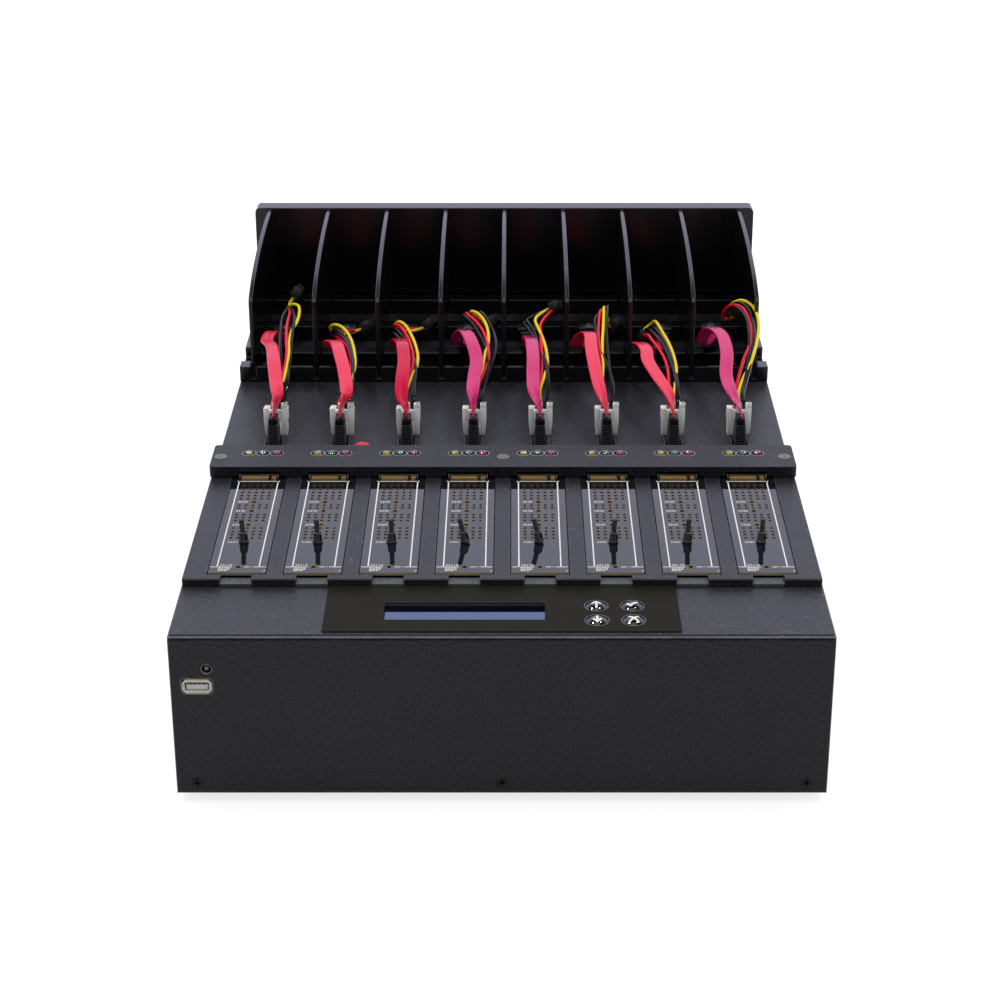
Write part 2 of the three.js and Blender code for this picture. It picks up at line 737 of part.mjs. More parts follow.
function trayPlate() {
  const half = tray_width / 2;
  const edge = new THREE.Shape([
    new THREE.Vector2(tray_front, tray_under), new THREE.Vector2(tray_rear, tray_under),
    new THREE.Vector2(tray_rear, tray_face), new THREE.Vector2(tray_front + tray_chamfer, tray_face),
    new THREE.Vector2(tray_front, tray_face - tray_chamfer),
  ]);
  const plate = web(edge, -half, half);
  const top = tray_face + overrun;
  const pockets = bays.map((bay) => {
    const x = bay_centre(bay);
    return block(x - pocket_width / 2, x + pocket_width / 2, pocket_front, backplane_front, pocket_floor, top);
  });
  const notches = bays.map((bay) => {
    const x = bay_centre(bay);
    return block(x - notch_width / 2, x + notch_width / 2, tray_front - overrun, notch_reach, tray_face - notch_depth, top);
  });
  const well = block(-backplane_width / 2 - fit_gap, backplane_width / 2 + fit_gap,
    backplane_front - fit_gap, backplane_rear + fit_gap, tray_under - overrun, top);
  return cut(plate, pockets, notches, well);
}

function backplaneBoard() {
  const half = backplane_width / 2;
  const root = tray_under + board_thickness / 2;
  const board = block(-half, half, backplane_front, backplane_rear, tray_under, backplane_top);
  const sockets = bays.map((bay) => {
    const x = bay_centre(bay);
    const body = block(x - socket_width / 2, x + socket_width / 2, socket_front, socket_rear, root,
      backplane_top + socket_height);
    const slot = block(x - adapter_tab_width / 2 - fit_gap, x + adapter_tab_width / 2 + fit_gap,
      socket_front - overrun, adapter_rear + fit_gap, pocket_floor, tray_face + fit_gap);
    return cut(body, slot);
  });
  const lights = bays.flatMap((bay) => [-1, 0, 1].map((place) => (
    bayLight(root).translate([bay * bar_bay_pitch + place * light_pitch, light_y, 0])
  )));
  const header = block(-header_width / 2, header_width / 2, header_front, backplane_rear - fit_gap,
    deck_top - header_drop, root);
  return join(board, sockets, lights, header);
}

function bayLight(root) {
  const tip = bar_top + light_rise;
  const shoulder = tip - light_radius;
  const slant = Math.SQRT1_2 * light_radius;
  return turned([[0, root], [light_radius, root], [light_radius, shoulder], [slant, shoulder + slant], [0, tip]], 7);
}

function lightBar() {
  const half = bar_width / 2;
  const body = slab(roundedOutline(-half, half, bar_front, bar_rear, bar_corner_radius), bar_under, bar_top, 2);
  const hollow = block(-half + bar_wall, half - bar_wall, bar_front + bar_wall, bar_rear - bar_wall,
    bar_under - overrun, bar_top - bar_wall);
  const mouths = bays.map((bay) => {
    const x = bay_centre(bay);
    const rear = bar_front + bar_wall + overrun;
    const mouth = block(x - bar_mouth_width / 2, x + bar_mouth_width / 2, bar_front - overrun, rear,
      bar_under - overrun, tray_face + bar_mouth_height);
    const slot = block(x - bar_slot_width / 2, x + bar_slot_width / 2, bar_front - overrun, rear,
      bar_under - overrun, tray_face + bar_slot_height);
    return join(mouth, slot);
  });
  const cones = bays.flatMap((bay) => [-1, 0, 1].map((place) => (
    lightCone().translate([bay * bar_bay_pitch + place * light_pitch, light_y, 0])
  )));
  return cut(body, hollow, mouths, cones);
}

function lightCone() {
  const low = bar_top - bar_wall;
  return turned([[0, low - overrun], [light_hole_radius, low - overrun], [light_hole_radius, low],
    [light_cone_radius, bar_top], [light_cone_radius, bar_top + overrun], [0, bar_top + overrun]], 9);
}

// Drawn about its own bay's middle and its pivot in the card socket
function adapterBoard() {
  const half = adapter_width / 2;
  const tab = adapter_tab_width / 2;
  const outline = new THREE.Shape([
    new THREE.Vector2(-half, adapter_front), new THREE.Vector2(half, adapter_front),
    new THREE.Vector2(half, adapter_shoulder), new THREE.Vector2(tab, adapter_shoulder),
    new THREE.Vector2(tab, adapter_rear), new THREE.Vector2(-tab, adapter_rear),
    new THREE.Vector2(-tab, adapter_shoulder), new THREE.Vector2(-half, adapter_shoulder),
  ]);
  const board = slab(outline, adapter_under, tray_face);
  const holes = card_lengths.map((length) => (
    rod(0, card_datum - length, adapter_under - overrun, tray_face + overrun, card_hole_radius, 8)));
  const front = card_datum;
  const base = tray_face - board_thickness / 2;
  const connector = block(-connector_width / 2, connector_width / 2, front, front + connector_depth, base,
    tray_face + connector_height);
  const slot_low = tray_face + connector_slot_lift;
  const slot = block(-connector_slot_width / 2, connector_slot_width / 2, front - overrun, front + connector_slot_depth,
    slot_low, slot_low + connector_slot_height);
  const key_rib = block(connector_key_x - connector_key_width / 2, connector_key_x + connector_key_width / 2, front,
    front + connector_slot_depth + overrun / 2, base, tray_face + connector_height);
  return join(cut(join(cut(board, holes), connector), slot), key_rib);
}

// Drawn about the board's top at its hole, standing up
function pullPin() {
  return turned([[0, -board_thickness], [pin_stem_radius, -board_thickness], [pin_stem_radius, fit_gap],
    [pin_collar_radius, fit_gap], [pin_collar_radius, pin_collar_height - pin_shoulder],
    [pin_radius, pin_collar_height], [pin_radius, pin_height], [0, pin_height]], 8);
}

// Drive side

function driveBoard() {
  const half = drive_board_width / 2;
  const root = drive_board_top - board_thickness / 2;
  const board = block(-half, half, drive_board_front, drive_board_rear, drive_board_top - board_thickness, drive_board_top);
  const posts = drive_post_shares.flatMap((share) => [drive_board_front, drive_board_rear].map((edge) => {
    const y = edge + Math.sign(data_plug_y - edge) * post_inset;
    return rod(share * half, y, root, deck_under - fit_gap, standoff_radius, 8);
  }));
  const headers = bays.flatMap((bay) => {
    const x = bay_centre(bay);
    return [
      blockAt(x + data_plug_x, data_plug_width, data_plug_y, data_plug_depth, root, drive_header_top),
      blockAt(x + power_plug_x, power_plug_width, power_plug_front + power_plug_depth / 2, power_plug_depth, root,
        drive_header_top),
    ];
  });
  return join(board, posts, headers);
}

function routePoints(route, bay) {
  return route.map(([x, y, z]) => new THREE.Vector3(bay_centre(bay) + x, y, deck_top + z));
}

// A flat lead with square-ish edges, twisted a quarter turn above its deck plug
function ribbon(points) {
  const curve = new THREE.CatmullRomCurve3(points, false, 'centripetal');
  const [wide, thin] = [ribbon_width / 2, ribbon_thickness / 2];
  const edge = wide - thin;
  const section = [[wide, 0], [edge, thin], [0, thin], [-edge, thin], [-wide, 0], [-edge, -thin], [0, -thin],
    [edge, -thin]];
  const rings = [];
  for (let step = 0; step <= ribbon_steps; step += 1) {
    const along = step / ribbon_steps;
    const centre = curve.getPointAt(along);
    const tangent = curve.getTangentAt(along);
    const eased = THREE.MathUtils.smoothstep(along, 0, ribbon_untwist_share);
    const turn = (1 - eased) * Math.PI / 2;
    const broad = new THREE.Vector3(Math.cos(turn), Math.sin(turn), 0);
    broad.addScaledVector(tangent, -broad.dot(tangent)).normalize();
    const face = new THREE.Vector3().crossVectors(tangent, broad);
    rings.push(section.map(([u, v]) => centre.clone().addScaledVector(broad, u).addScaledVector(face, v)));
  }
  return loft(rings);
}

// A plug drawn from the end of a lead, pointing along an axis with its broad side along another
function farPlug(end, axis, broad, length, width, thickness) {
  const forward = axis.clone().normalize();
  const across = broad.clone().addScaledVector(forward, -broad.dot(forward)).normalize();
  const up = new THREE.Vector3().crossVectors(forward, across);
  const box = new THREE.BoxGeometry(length + plug_sink, width, thickness);
  box.translate((length - plug_sink) / 2, 0, 0);
  box.applyMatrix4(new THREE.Matrix4().makeBasis(forward, across, up));
  box.translate(end.x, end.y, end.z);
  return solidOf(box);
}

function dataLead(bay, route) {
  const x = bay_centre(bay) + data_plug_x;
  const top = deck_top + data_plug_top;
  const body_top = top - data_plug_neck;
  const low = drive_header_top + fit_gap;
  const right = [];
  for (let i = data_rib_count; i > 0; i -= 1) {
    const z = body_top - i * data_rib_pitch;
    right.push([data_rib_proud, z], [data_rib_proud, z + data_rib_height], [0, z + data_rib_height], [0, z + data_rib_pitch]);
  }
  const waist = data_plug_width / 2;
  const edge = [[0, low], [0, right[0][1]], ...right, [-data_rib_proud, body_top], [-data_rib_proud, top]];
  const outline = new THREE.Shape([
    ...edge.map(([out, z]) => new THREE.Vector2(x + waist + out, z)),
    ...edge.map(([out, z]) => new THREE.Vector2(x - waist - out, z)).reverse(),
  ]);
  const body = panel(outline, data_plug_y - data_plug_depth / 2, data_plug_y + data_plug_depth / 2);
  const start = new THREE.Vector3(x, data_plug_y, top - plug_sink);
  const points = [start, ...routePoints(route, bay)];
  const end = points[points.length - 1];
  const far = farPlug(end, new THREE.Vector3(0, 1, 0), new THREE.Vector3(1, 0, 0), far_data_length, far_data_width,
    far_data_thickness);
  return join(body, ribbon(points), far);
}

function powerLead(bay, route, far_tilt) {
  const x0 = bay_centre(bay) + power_plug_x - power_plug_width / 2;
  const low = drive_header_top + fit_gap;
  const rear = power_plug_front + power_plug_depth;
  const body = block(x0, x0 + power_plug_width, power_plug_front, rear, low, deck_top + power_plug_top);
  const ears = power_ear_heights.map((height, i) => block(
    x0 + power_ear_starts_share[i] * power_plug_width, x0 + power_ear_ends_share[i] * power_plug_width,
    power_plug_front, power_plug_front + power_plug_depth / 4, low, deck_top + height,
  ));
  const start = new THREE.Vector3(x0 + power_plug_width / 2, power_plug_front + power_plug_depth / 2,
    deck_top + power_plug_top - plug_sink);
  const points = [start, ...routePoints(route, bay)];
  const section = new THREE.Shape();
  section.absarc(0, 0, bundle_radius, 0, Math.PI * 2, false);
  const bundle = new THREE.ExtrudeGeometry(section, {
    steps: bundle_steps, curveSegments: bundle_sides / 2, bevelEnabled: false,
    extrudePath: new THREE.CatmullRomCurve3(points, false, 'centripetal'),
  });
  const tilt = THREE.MathUtils.degToRad(far_tilt);
  const far_axis = new THREE.Vector3(Math.cos(tilt), 0, 0).addScaledVector(far_power_up, Math.sin(tilt));
  const far = farPlug(points[points.length - 1], far_axis, far_power_broad, far_power_length, far_power_width,
    far_power_thickness);
  return join(body, ears, solidOf(bundle), far);
}

function rackBase() {
  const half = base_width / 2;
  const inner = half - base_rail_width;
  const [low, high] = [deck_top + fit_gap, deck_top + base_height];
  const rail_half = cross_rail_width / 2;
  const rear = cross_rail_ys[cross_rail_ys.length - 1] + rail_half;
  const plate = block(-half, half, base_front, rear, low, high);
  const openings = cross_rail_ys.map((y, i) => {
    const front = i === 0 ? base_front + base_lip : cross_rail_ys[i - 1] + rail_half;
    return block(-inner, inner, front, y - rail_half, low - overrun, high + overrun);
  });
  const side_gap = block(-half - overrun, half + overrun, base_front + base_corner,
    cross_rail_ys[0] + base_gap_reach, deck_top + base_gap_height, high + overrun);
  const middle_rail = block(-inner, inner, cross_rail_ys[0] - rail_half, cross_rail_ys[0] + rail_half,
    low - overrun, high + 2 * overrun);
  const slots = fins.map((x) => block(x - fin_slot_width / 2, x + fin_slot_width / 2, base_front - overrun,
    rear + overrun, deck_top + fin_slot_floor, high + overrun));
  return cut(plate, openings, cut(side_gap, middle_rail), slots);
}

function driveRack() {
  const half = rack_width / 2;
  const low = deck_top + fit_gap;
  const high = deck_top + rack_height;
  const rear = rack_face + rack_rim_depth;
  const outline = new THREE.Shape();
  outline.moveTo(-half, low);
  outline.lineTo(half, low);
  outline.lineTo(half, high - rack_corner_radius);
  outline.absarc(half - rack_corner_radius, high - rack_corner_radius, rack_corner_radius, 0, Math.PI / 2, false);
  outline.lineTo(-half + rack_corner_radius, high);
  outline.absarc(-half + rack_corner_radius, high - rack_corner_radius, rack_corner_radius, Math.PI / 2, Math.PI, false);
  const shell = panel(outline, rack_face, rear, 5);
  const hollow = block(-half + rack_sheet, half - rack_sheet, rack_face + rack_sheet, rear + overrun,
    low - overrun, high - rack_sheet);
  return join(cut(shell, hollow), fins.map((x) => fin(x)));
}

function fin(x) {
  const low = deck_top + fin_slot_floor + fit_gap;
  const corner = deck_top + fin_corner_height;
  const back = rack_face + rack_sheet / 2;
  const outline = new THREE.Shape();
  outline.moveTo(fin_front, low);
  outline.lineTo(back, low);
  outline.lineTo(back, deck_top + rack_height - rack_sheet / 2);
  const crown = fin_crown.map(([y, z]) => new THREE.Vector2(y, deck_top + z)).reverse();
  outline.splineThru([...crown, new THREE.Vector2(fin_front + fin_corner_radius, corner)]);
  outline.lineTo(fin_front, corner - fin_corner_radius);
  return web(outline, x - fin_thickness / 2, x + fin_thickness / 2, 4);
}

// Inside

function controllerBoard() {
  const half = controller_width / 2;
  const low = case_sheet + fit_gap;
  const top = low + controller_lift + board_thickness;
  const root = top - board_thickness / 2;
  const board = block(-half, half, controller_front, controller_rear, top - board_thickness, top);
  const posts = [-half + post_inset, half - post_inset].flatMap((x) => (
    [controller_front + post_inset, controller_rear - post_inset].map((y) => (
      rod(x, y, low, root, standoff_radius, 8)))));
  const middle = (controller_front + controller_rear) / 2;
  const sink = blockAt(heatsink_x, heatsink_width, middle, heatsink_depth, root, top + heatsink_base);
  const pitch = (heatsink_width - heatsink_fin_thickness) / (heatsink_fin_count - 1);
  const sink_fins = Array.from({ length: heatsink_fin_count }, (_, i) => {
    const x = heatsink_x - heatsink_width / 2 + heatsink_fin_thickness / 2 + i * pitch;
    return blockAt(x, heatsink_fin_thickness, middle, heatsink_depth, root, top + heatsink_height);
  });
  const chips = chip_xs.map((x) => blockAt(x, chip_width, middle, chip_width, root, top + chip_height));
  return join(board, posts, sink, sink_fins, chips);
}

function powerSupply() {
  const rear = rear_face - fit_gap;
  const case_body = block(supply_x, supply_x + supply_width, supply_front, rear, supply_floor, supply_floor + supply_height);
  const x0 = supply_x + inlet_start - fit_gap;
  const seat = block(x0, x0 + inlet_width + 2 * fit_gap, rear_face + inlet_proud - inlet_depth - fit_gap, rear + overrun,
    inlet_middle_z - inlet_height / 2 - fit_gap, inlet_middle_z + inlet_height / 2 + fit_gap);
  const vents = Array.from({ length: supply_vent_count }, (_, i) => {
    const pitch = 2 * supply_vent_width;
    const z = inlet_middle_z + (i - (supply_vent_count - 1) / 2) * pitch;
    return block(supply_x + supply_vent_x, supply_x + supply_vent_x + supply_vent_length, rear - supply_vent_depth,
      rear + overrun, z - supply_vent_width / 2, z + supply_vent_width / 2);
  });
  return cut(case_body, seat, vents);
}

function powerInlet() {
  const x0 = supply_x + inlet_start;
  const face = rear_face + inlet_proud;
  const z = inlet_middle_z;
  const body = block(x0, x0 + inlet_width, face - inlet_depth, face, z - inlet_height / 2, z + inlet_height / 2);
  const mouth_x = x0 + socket_mouth_x;
  const mouth = panel(roundedOutline(mouth_x - socket_mouth_width / 2, mouth_x + socket_mouth_width / 2,
    z - socket_mouth_height / 2, z + socket_mouth_height / 2, socket_mouth_radius), face - socket_mouth_depth,
  face + overrun, 2);
  const prong_face = face - socket_mouth_depth + prong_length;
  const prongs = [[-prong_spread, -prong_drop], [0, prong_drop], [prong_spread, -prong_drop]].map(([dx, dz]) => (
    block(mouth_x + dx - prong_width / 2, mouth_x + dx + prong_width / 2, face - socket_mouth_depth - overrun, prong_face,
      z + dz - prong_height / 2, z + dz + prong_height / 2)));
  const reach = rocker_reach + rocker_pocket_gap;
  const pocket = block(x0 + rocker_x - rocker_width / 2 - fit_gap, x0 + rocker_x + rocker_width / 2 + fit_gap,
    face - rocker_pocket_depth, face + overrun, z - reach, z + reach);
  return join(cut(body, mouth, pocket), prongs);
}

// Drawn about its pivot, with its shallow V of a face to the rear
function rocker() {
  const rise = rocker_reach * Math.tan(THREE.MathUtils.degToRad(rocker_degrees));
  const outline = new THREE.Shape([
    new THREE.Vector2(rocker_waist, 0), new THREE.Vector2(rocker_waist + rise, rocker_reach),
    new THREE.Vector2(-rocker_edge, rocker_reach), new THREE.Vector2(-rocker_belly, rocker_belly_reach),
    new THREE.Vector2(-rocker_belly, -rocker_belly_reach), new THREE.Vector2(-rocker_edge, -rocker_reach),
    new THREE.Vector2(rocker_waist + rise, -rocker_reach),
  ]);
  return web(outline, -rocker_width / 2, rocker_width / 2);
}

// The fan is drawn about its shaft's middle, blowing to the rear along Y
function fanFrame() {
  const half = fan_size / 2;
  const [front, rear] = [-fan_depth / 2, fan_depth / 2];
  const frame = panel(roundedOutline(-half, half, -half, half, fan_corner_radius), front, rear, 2);
  const bore = dowel(0, 0, front - overrun, rear + overrun, fan_bore, 36);
  const mount = dowel(0, 0, front, front + fan_mount_thickness, fan_hub_radius, 20);
  const struts = [block(-fan_bore - overrun, fan_bore + overrun, front, front + fan_mount_thickness,
    -fan_strut_width / 2, fan_strut_width / 2),
  block(-fan_strut_width / 2, fan_strut_width / 2, front, front + fan_mount_thickness, -fan_bore - overrun,
    fan_bore + overrun)];
  return join(cut(frame, bore), mount, struts);
}

function fanRotor() {
  const front = -fan_depth / 2 + fan_mount_thickness + fit_gap;
  const rear = front + fan_rotor_depth;
  const hub = dowel(0, 0, front, rear, fan_hub_radius, 20);
  const reach = fan_bore - fan_tip_gap;
  const envelope = cut(dowel(0, 0, front, rear, reach, 36), dowel(0, 0, front - overrun, rear + overrun, fan_hub_radius / 2, 12));
  const blades = Array.from({ length: fan_blade_count }, (_, i) => {
    const blade = block(-fan_blade_chord / 2, fan_blade_chord / 2, -fan_blade_thickness / 2, fan_blade_thickness / 2,
      fan_hub_radius - overrun, reach + overrun);
    return blade.rotate([0, 0, fan_blade_degrees]).translate([0, (front + rear) / 2, 0])
      .rotate([0, (i * 360) / fan_blade_count, 0]);
  });
  return join(hub, blades.map((blade) => blade.intersect(envelope)));
}

// Assembly

const machine = new THREE.Group();

function place(name, solid, material, parent = machine) {
  const mesh = new THREE.Mesh(geometryOf(solid), material);
  mesh.name = name;
  parent.add(mesh);
  return mesh;
}

function placeAt(name, solid, material, x, y, z) {
  const mesh = place(name, solid, material);
  mesh.position.set(x, y, z);
  return mesh;
}

function addCase() {
  place('base_pan', basePan(), black_steel);
  place('top_cover', topCover(), black_steel);
  place('front_panel', frontPanel(), panel_steel);
  place('usb_board', usbBoard(), bare_steel);
  const spots = [['front', foot_inset], ['rear', case_depth - foot_inset]];
  for (const [end, y] of spots) {
    for (const [side, hand] of [['left', -1], ['right', 1]]) {
      placeAt(`foot_${end}_${side}`, foot(), rubber, hand * (half_width - foot_inset), y, -foot_height);
    }
  }
}

function addControls() {
  place('control_overlay', controlOverlay(), black_gloss);
  place('display_module', displayModule(), display_glass);
  place('control_board', controlBoard(), board_green);
  keys.forEach(([x, y], i) => placeAt(key_names[i], key(), black_gloss, x, y, 0));
}

function addCardSide() {
  place('tray_plate', trayPlate(), black_steel);
  place('backplane_board', backplaneBoard(), board_green);
  place('light_bar', lightBar(), black_steel);
  const board = adapterBoard();
  const pin = pullPin();
  bays.forEach((bay, i) => {
    placeAt(`adapter_${i + 1}`, board, board_black, bay_centre(bay), 0, 0);
    const [across, back] = pin_leans_degrees[i].map((lean) => THREE.MathUtils.degToRad(lean));
    const collar_lift = pin_collar_radius * Math.sin(Math.hypot(across, back));
    const mesh = placeAt(`pull_pin_${i + 1}`, pin, black_plastic, bay_centre(bay), card_datum - pin_length,
      tray_face + collar_lift);
    mesh.rotation.set(-back, across, 0);
  });
}

function addDriveSide() {
  place('drive_board', driveBoard(), board_green);
  place('rack_base', rackBase(), rack_plastic);
  place('drive_rack', driveRack(), rack_plastic);
  bays.forEach((bay, i) => {
    const colour = [3, 4, 7].includes(i) ? ribbon_magenta : ribbon_red;
    place(`data_lead_${i + 1}`, dataLead(bay, ribbon_routes[i]), colour);
    place(`power_lead_${i + 1}`, powerLead(bay, bundle_routes[i], far_power_tilts_degrees[i]), wire_white);
  });
}

function addInside() {
  place('controller_board', controllerBoard(), board_green);
  place('power_supply', powerSupply(), bare_steel);
  place('power_inlet', powerInlet(), black_plastic);
  const off = placeAt('power_rocker', rocker(), black_plastic, supply_x + inlet_start + rocker_x,
    rear_face + inlet_proud - rocker_pivot_depth, inlet_middle_z);
  off.rotation.x = -THREE.MathUtils.degToRad(rocker_degrees);
  const fan_y = rear_face - fit_gap - fan_depth / 2;
  placeAt('fan_frame', fanFrame(), black_plastic, fan_x, fan_y, fan_z);
  placeAt('fan_rotor', fanRotor(), black_plastic, fan_x, fan_y, fan_z);
}

addCase();
addControls();
addCardSide();
addDriveSide();
addInside();

const extent = new THREE.Box3().setFromObject(machine, true);
const middle = extent.getCenter(new THREE.Vector3());
machine.position.set(-middle.x, -middle.y, -extent.min.z);

export default machine;
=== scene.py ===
"""Looks of an eight-bay duplicator for M.2 cards and loose drives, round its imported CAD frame.

Every piece is drawn in the machine's own millimetres: X across, Y back from the front face and Z up
from the case's underside. It is then put in the row frame, in metres.
"""

from __future__ import annotations

import logging
import math
from dataclasses import dataclass, field, replace
from enum import Enum
from typing import Iterable, Optional, Sequence

import bmesh
import bpy
from mathutils import Matrix, Vector

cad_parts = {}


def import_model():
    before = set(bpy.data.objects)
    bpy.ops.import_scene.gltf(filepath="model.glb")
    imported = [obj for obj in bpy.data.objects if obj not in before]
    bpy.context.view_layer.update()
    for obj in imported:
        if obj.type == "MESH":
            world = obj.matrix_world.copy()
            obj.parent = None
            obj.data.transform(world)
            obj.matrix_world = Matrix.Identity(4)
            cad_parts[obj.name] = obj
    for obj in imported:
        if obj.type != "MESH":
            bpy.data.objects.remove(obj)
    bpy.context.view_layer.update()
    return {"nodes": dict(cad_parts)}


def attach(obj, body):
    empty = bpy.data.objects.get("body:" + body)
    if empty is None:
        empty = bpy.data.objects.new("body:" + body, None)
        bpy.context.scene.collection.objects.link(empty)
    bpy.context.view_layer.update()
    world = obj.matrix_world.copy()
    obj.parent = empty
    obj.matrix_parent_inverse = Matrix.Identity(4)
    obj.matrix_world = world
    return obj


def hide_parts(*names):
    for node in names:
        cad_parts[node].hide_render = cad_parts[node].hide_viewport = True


log = logging.getLogger("duplicator")

Point = tuple[float, float, float]
Flat = tuple[float, float]
Route = tuple[Point, ...]

MILLIMETRE = 0.001
CASE_MIDDLE_Y = 248.8235
FOOT_HEIGHT = 6.0
TO_ROW = Matrix.Scale(MILLIMETRE, 4) @ Matrix.Translation((0.0, -CASE_MIDDLE_Y, FOOT_HEIGHT))

BAY_PITCH = 39.5
BAYS = tuple(i - 3.5 for i in range(8))
BAY_PLACES = tuple((bay * BAY_PITCH, 0.0, 0.0) for bay in BAYS)
DECK = 90.2
TRAY_FACE = 94.9
BAR_TOP = 101.9
REAR = 496.0
SCREW_RISE = 0.3
COAT_ROUGHNESS = 0.06
DUST_GREY = (190, 190, 196)


def in_row(point: Sequence[float]) -> Vector:
    """Takes a point in the machine's millimetres to the row frame in metres."""
    return TO_ROW @ Vector(point)


def linear(level: float) -> float:
    """Takes one colour level from 0 to 255 to its linear share of light."""
    share = level / 255.0
    return share / 12.92 if share <= 0.04045 else ((share + 0.055) / 1.055) ** 2.4


def shade(colour: Sequence[float]) -> tuple[float, float, float, float]:
    """Takes a colour of three levels from 0 to 255 to the linear colour that nodes use."""
    red, green, blue = (linear(level) for level in colour)
    return (red, green, blue, 1.0)


# Materials


class NodeBench:
    """Adds nodes to one tree and joins them."""

    def __init__(self, tree: bpy.types.NodeTree) -> None:
        """Starts from an empty tree."""
        self.tree = tree
        tree.nodes.clear()

    def add(self, kind: str, **settings: object) -> bpy.types.Node:
        """Adds one node.

        Args:
            kind: Blender's name of the node's type.
            **settings: Values for the node's own properties.

        Returns:
            The new node.
        """
        node = self.tree.nodes.new(kind)
        for key, value in settings.items():
            setattr(node, key, value)
        return node

    def join(self, source: bpy.types.NodeSocket, target: bpy.types.NodeSocket) -> None:
        """Joins an output to an input."""
        self.tree.links.new(source, target)

    def feed(self, target: bpy.types.NodeSocket, value: object) -> None:
        """Gives an input its value, whether an output to join or something plain.

        Args:
            target: The input.
            value: The output or the plain value.
        """
        if isinstance(value, bpy.types.NodeSocket):
            self.join(value, target)
        else:
            target.default_value = value

    def maths(self, operation: str, *values: object, clamp: bool = False) -> bpy.types.NodeSocket:
        """Adds a Math node.

        Args:
            operation: The node's operation.
            *values: Its inputs in order, sockets or numbers.
            clamp: Whether the result is kept from 0 to 1.

        Returns:
            The node's result.
        """
        node = self.add("ShaderNodeMath", operation=operation, use_clamp=clamp)
        for target, value in zip(node.inputs, values):
            self.feed(target, value)
        return node.outputs[0]

    def ramp(self, value: bpy.types.NodeSocket, slope: float, start: float) -> bpy.types.NodeSocket:
        """Gives slope times a value plus a start, kept from 0 to 1."""
        return self.maths("ADD", self.maths("MULTIPLY", value, slope), start, clamp=True)

    def blend(self, share: object, first: object, second: object) -> bpy.types.NodeSocket:
        """Adds a colour Mix node.

        Args:
            share: How much of the second colour shows.
            first: The first colour, a socket or a linear colour.
            second: The second colour, a socket or a linear colour.

        Returns:
            The mixed colour.
        """
        node = self.add("ShaderNodeMix", data_type="RGBA")
        for place, value in ((0, share), (6, first), (7, second)):
            self.feed(node.inputs[place], value)
        return node.outputs[2]

    def axis(self, source: bpy.types.NodeSocket, name: str) -> bpy.types.NodeSocket:
        """Gives one axis of a vector.

        Args:
            source: The vector.
            name: X, Y or Z.

        Returns:
            The axis's value.
        """
        split = self.add("ShaderNodeSeparateXYZ")
        self.join(source, split.inputs[0])
        return split.outputs[name]

    def noise(self, scale: object, detail: float = 3.0,
              stretch: Point = (1.0, 1.0, 1.0)) -> bpy.types.NodeSocket:
        """Adds a Noise texture on Object coordinates.

        Args:
            scale: How many features stand in a metre, a socket or a number.
            detail: How many finer layers it has.
            stretch: Scale of each axis, where the pattern is drawn out.

        Returns:
            The noise's value.
        """
        mapping = self.add("ShaderNodeMapping")
        mapping.inputs["Scale"].default_value = stretch
        self.join(self.add("ShaderNodeTexCoord").outputs["Object"], mapping.inputs["Vector"])
        node = self.add("ShaderNodeTexNoise")
        node.inputs["Detail"].default_value = detail
        self.join(mapping.outputs["Vector"], node.inputs["Vector"])
        self.feed(node.inputs["Scale"], scale)
        return node.outputs["Fac"]

    def cells(self, scale: object) -> bpy.types.NodeSocket:
        """Adds a Voronoi texture on Object coordinates.

        Args:
            scale: How many cells stand in a metre, a socket or a number.

        Returns:
            The distance to the nearest cell's middle.
        """
        node = self.add("ShaderNodeTexVoronoi")
        self.join(self.add("ShaderNodeTexCoord").outputs["Object"], node.inputs["Vector"])
        self.feed(node.inputs["Scale"], scale)
        return node.outputs["Distance"]

    def seen_straight(self) -> bpy.types.NodeSocket:
        """Gives 1 for what the camera sees, itself or through something clear."""
        path = self.add("ShaderNodeLightPath")
        return self.maths("MAXIMUM", path.outputs["Is Camera Ray"], path.outputs["Is Transmission Ray"])


PEBBLE_SHARE = 0.6
PATCH_SHARE = 0.7
PATCH_LEAST = 0.15
CORNER_GAIN = 5.0
WEAR_AND_HIGHLIGHT_SCALE = 120.0
WEAR_AND_HIGHLIGHT_RAMP = (0.9, 0.25)
SPECK_REACH = 0.13
SPECK_GAIN = 14.0
DUST_PATCHES = 70.0
DUST_PATCH_FROM = 0.58


class SharedEffect(Enum):
    """The effects that several finishes share, each a node group."""

    GRAIN = "surface_grain"
    WEAR_AND_HIGHLIGHT = "edge_wear_and_highlight"
    DUST = "settled_dust"
    SCUFF = "fine_scuffs"

    def group(self) -> bpy.types.NodeTree:
        """Gives the effect's node group, built once."""
        found = bpy.data.node_groups.get(self.value)
        return found if found is not None else _BUILDERS[self]()


def new_group(effect: SharedEffect, inputs: dict[str, float],
              outputs: Sequence[str]) -> tuple[NodeBench, dict, dict]:
    """Starts a node group with named inputs and outputs.

    Args:
        effect: The effect that the group is for.
        inputs: Each input's name and default value.
        outputs: The outputs' names.

    Returns:
        The group's bench, its inputs by name and its outputs by name.
    """
    tree = bpy.data.node_groups.new(effect.value, "ShaderNodeTree")
    bench = NodeBench(tree)
    for name, value in inputs.items():
        tree.interface.new_socket(name=name, in_out="INPUT",
                                  socket_type="NodeSocketFloat").default_value = value
    for name in outputs:
        tree.interface.new_socket(name=name, in_out="OUTPUT", socket_type="NodeSocketFloat")
    given = bench.add("NodeGroupInput")
    result = bench.add("NodeGroupOutput")
    return bench, {s.name: s for s in given.outputs}, {s.name: s for s in result.inputs}


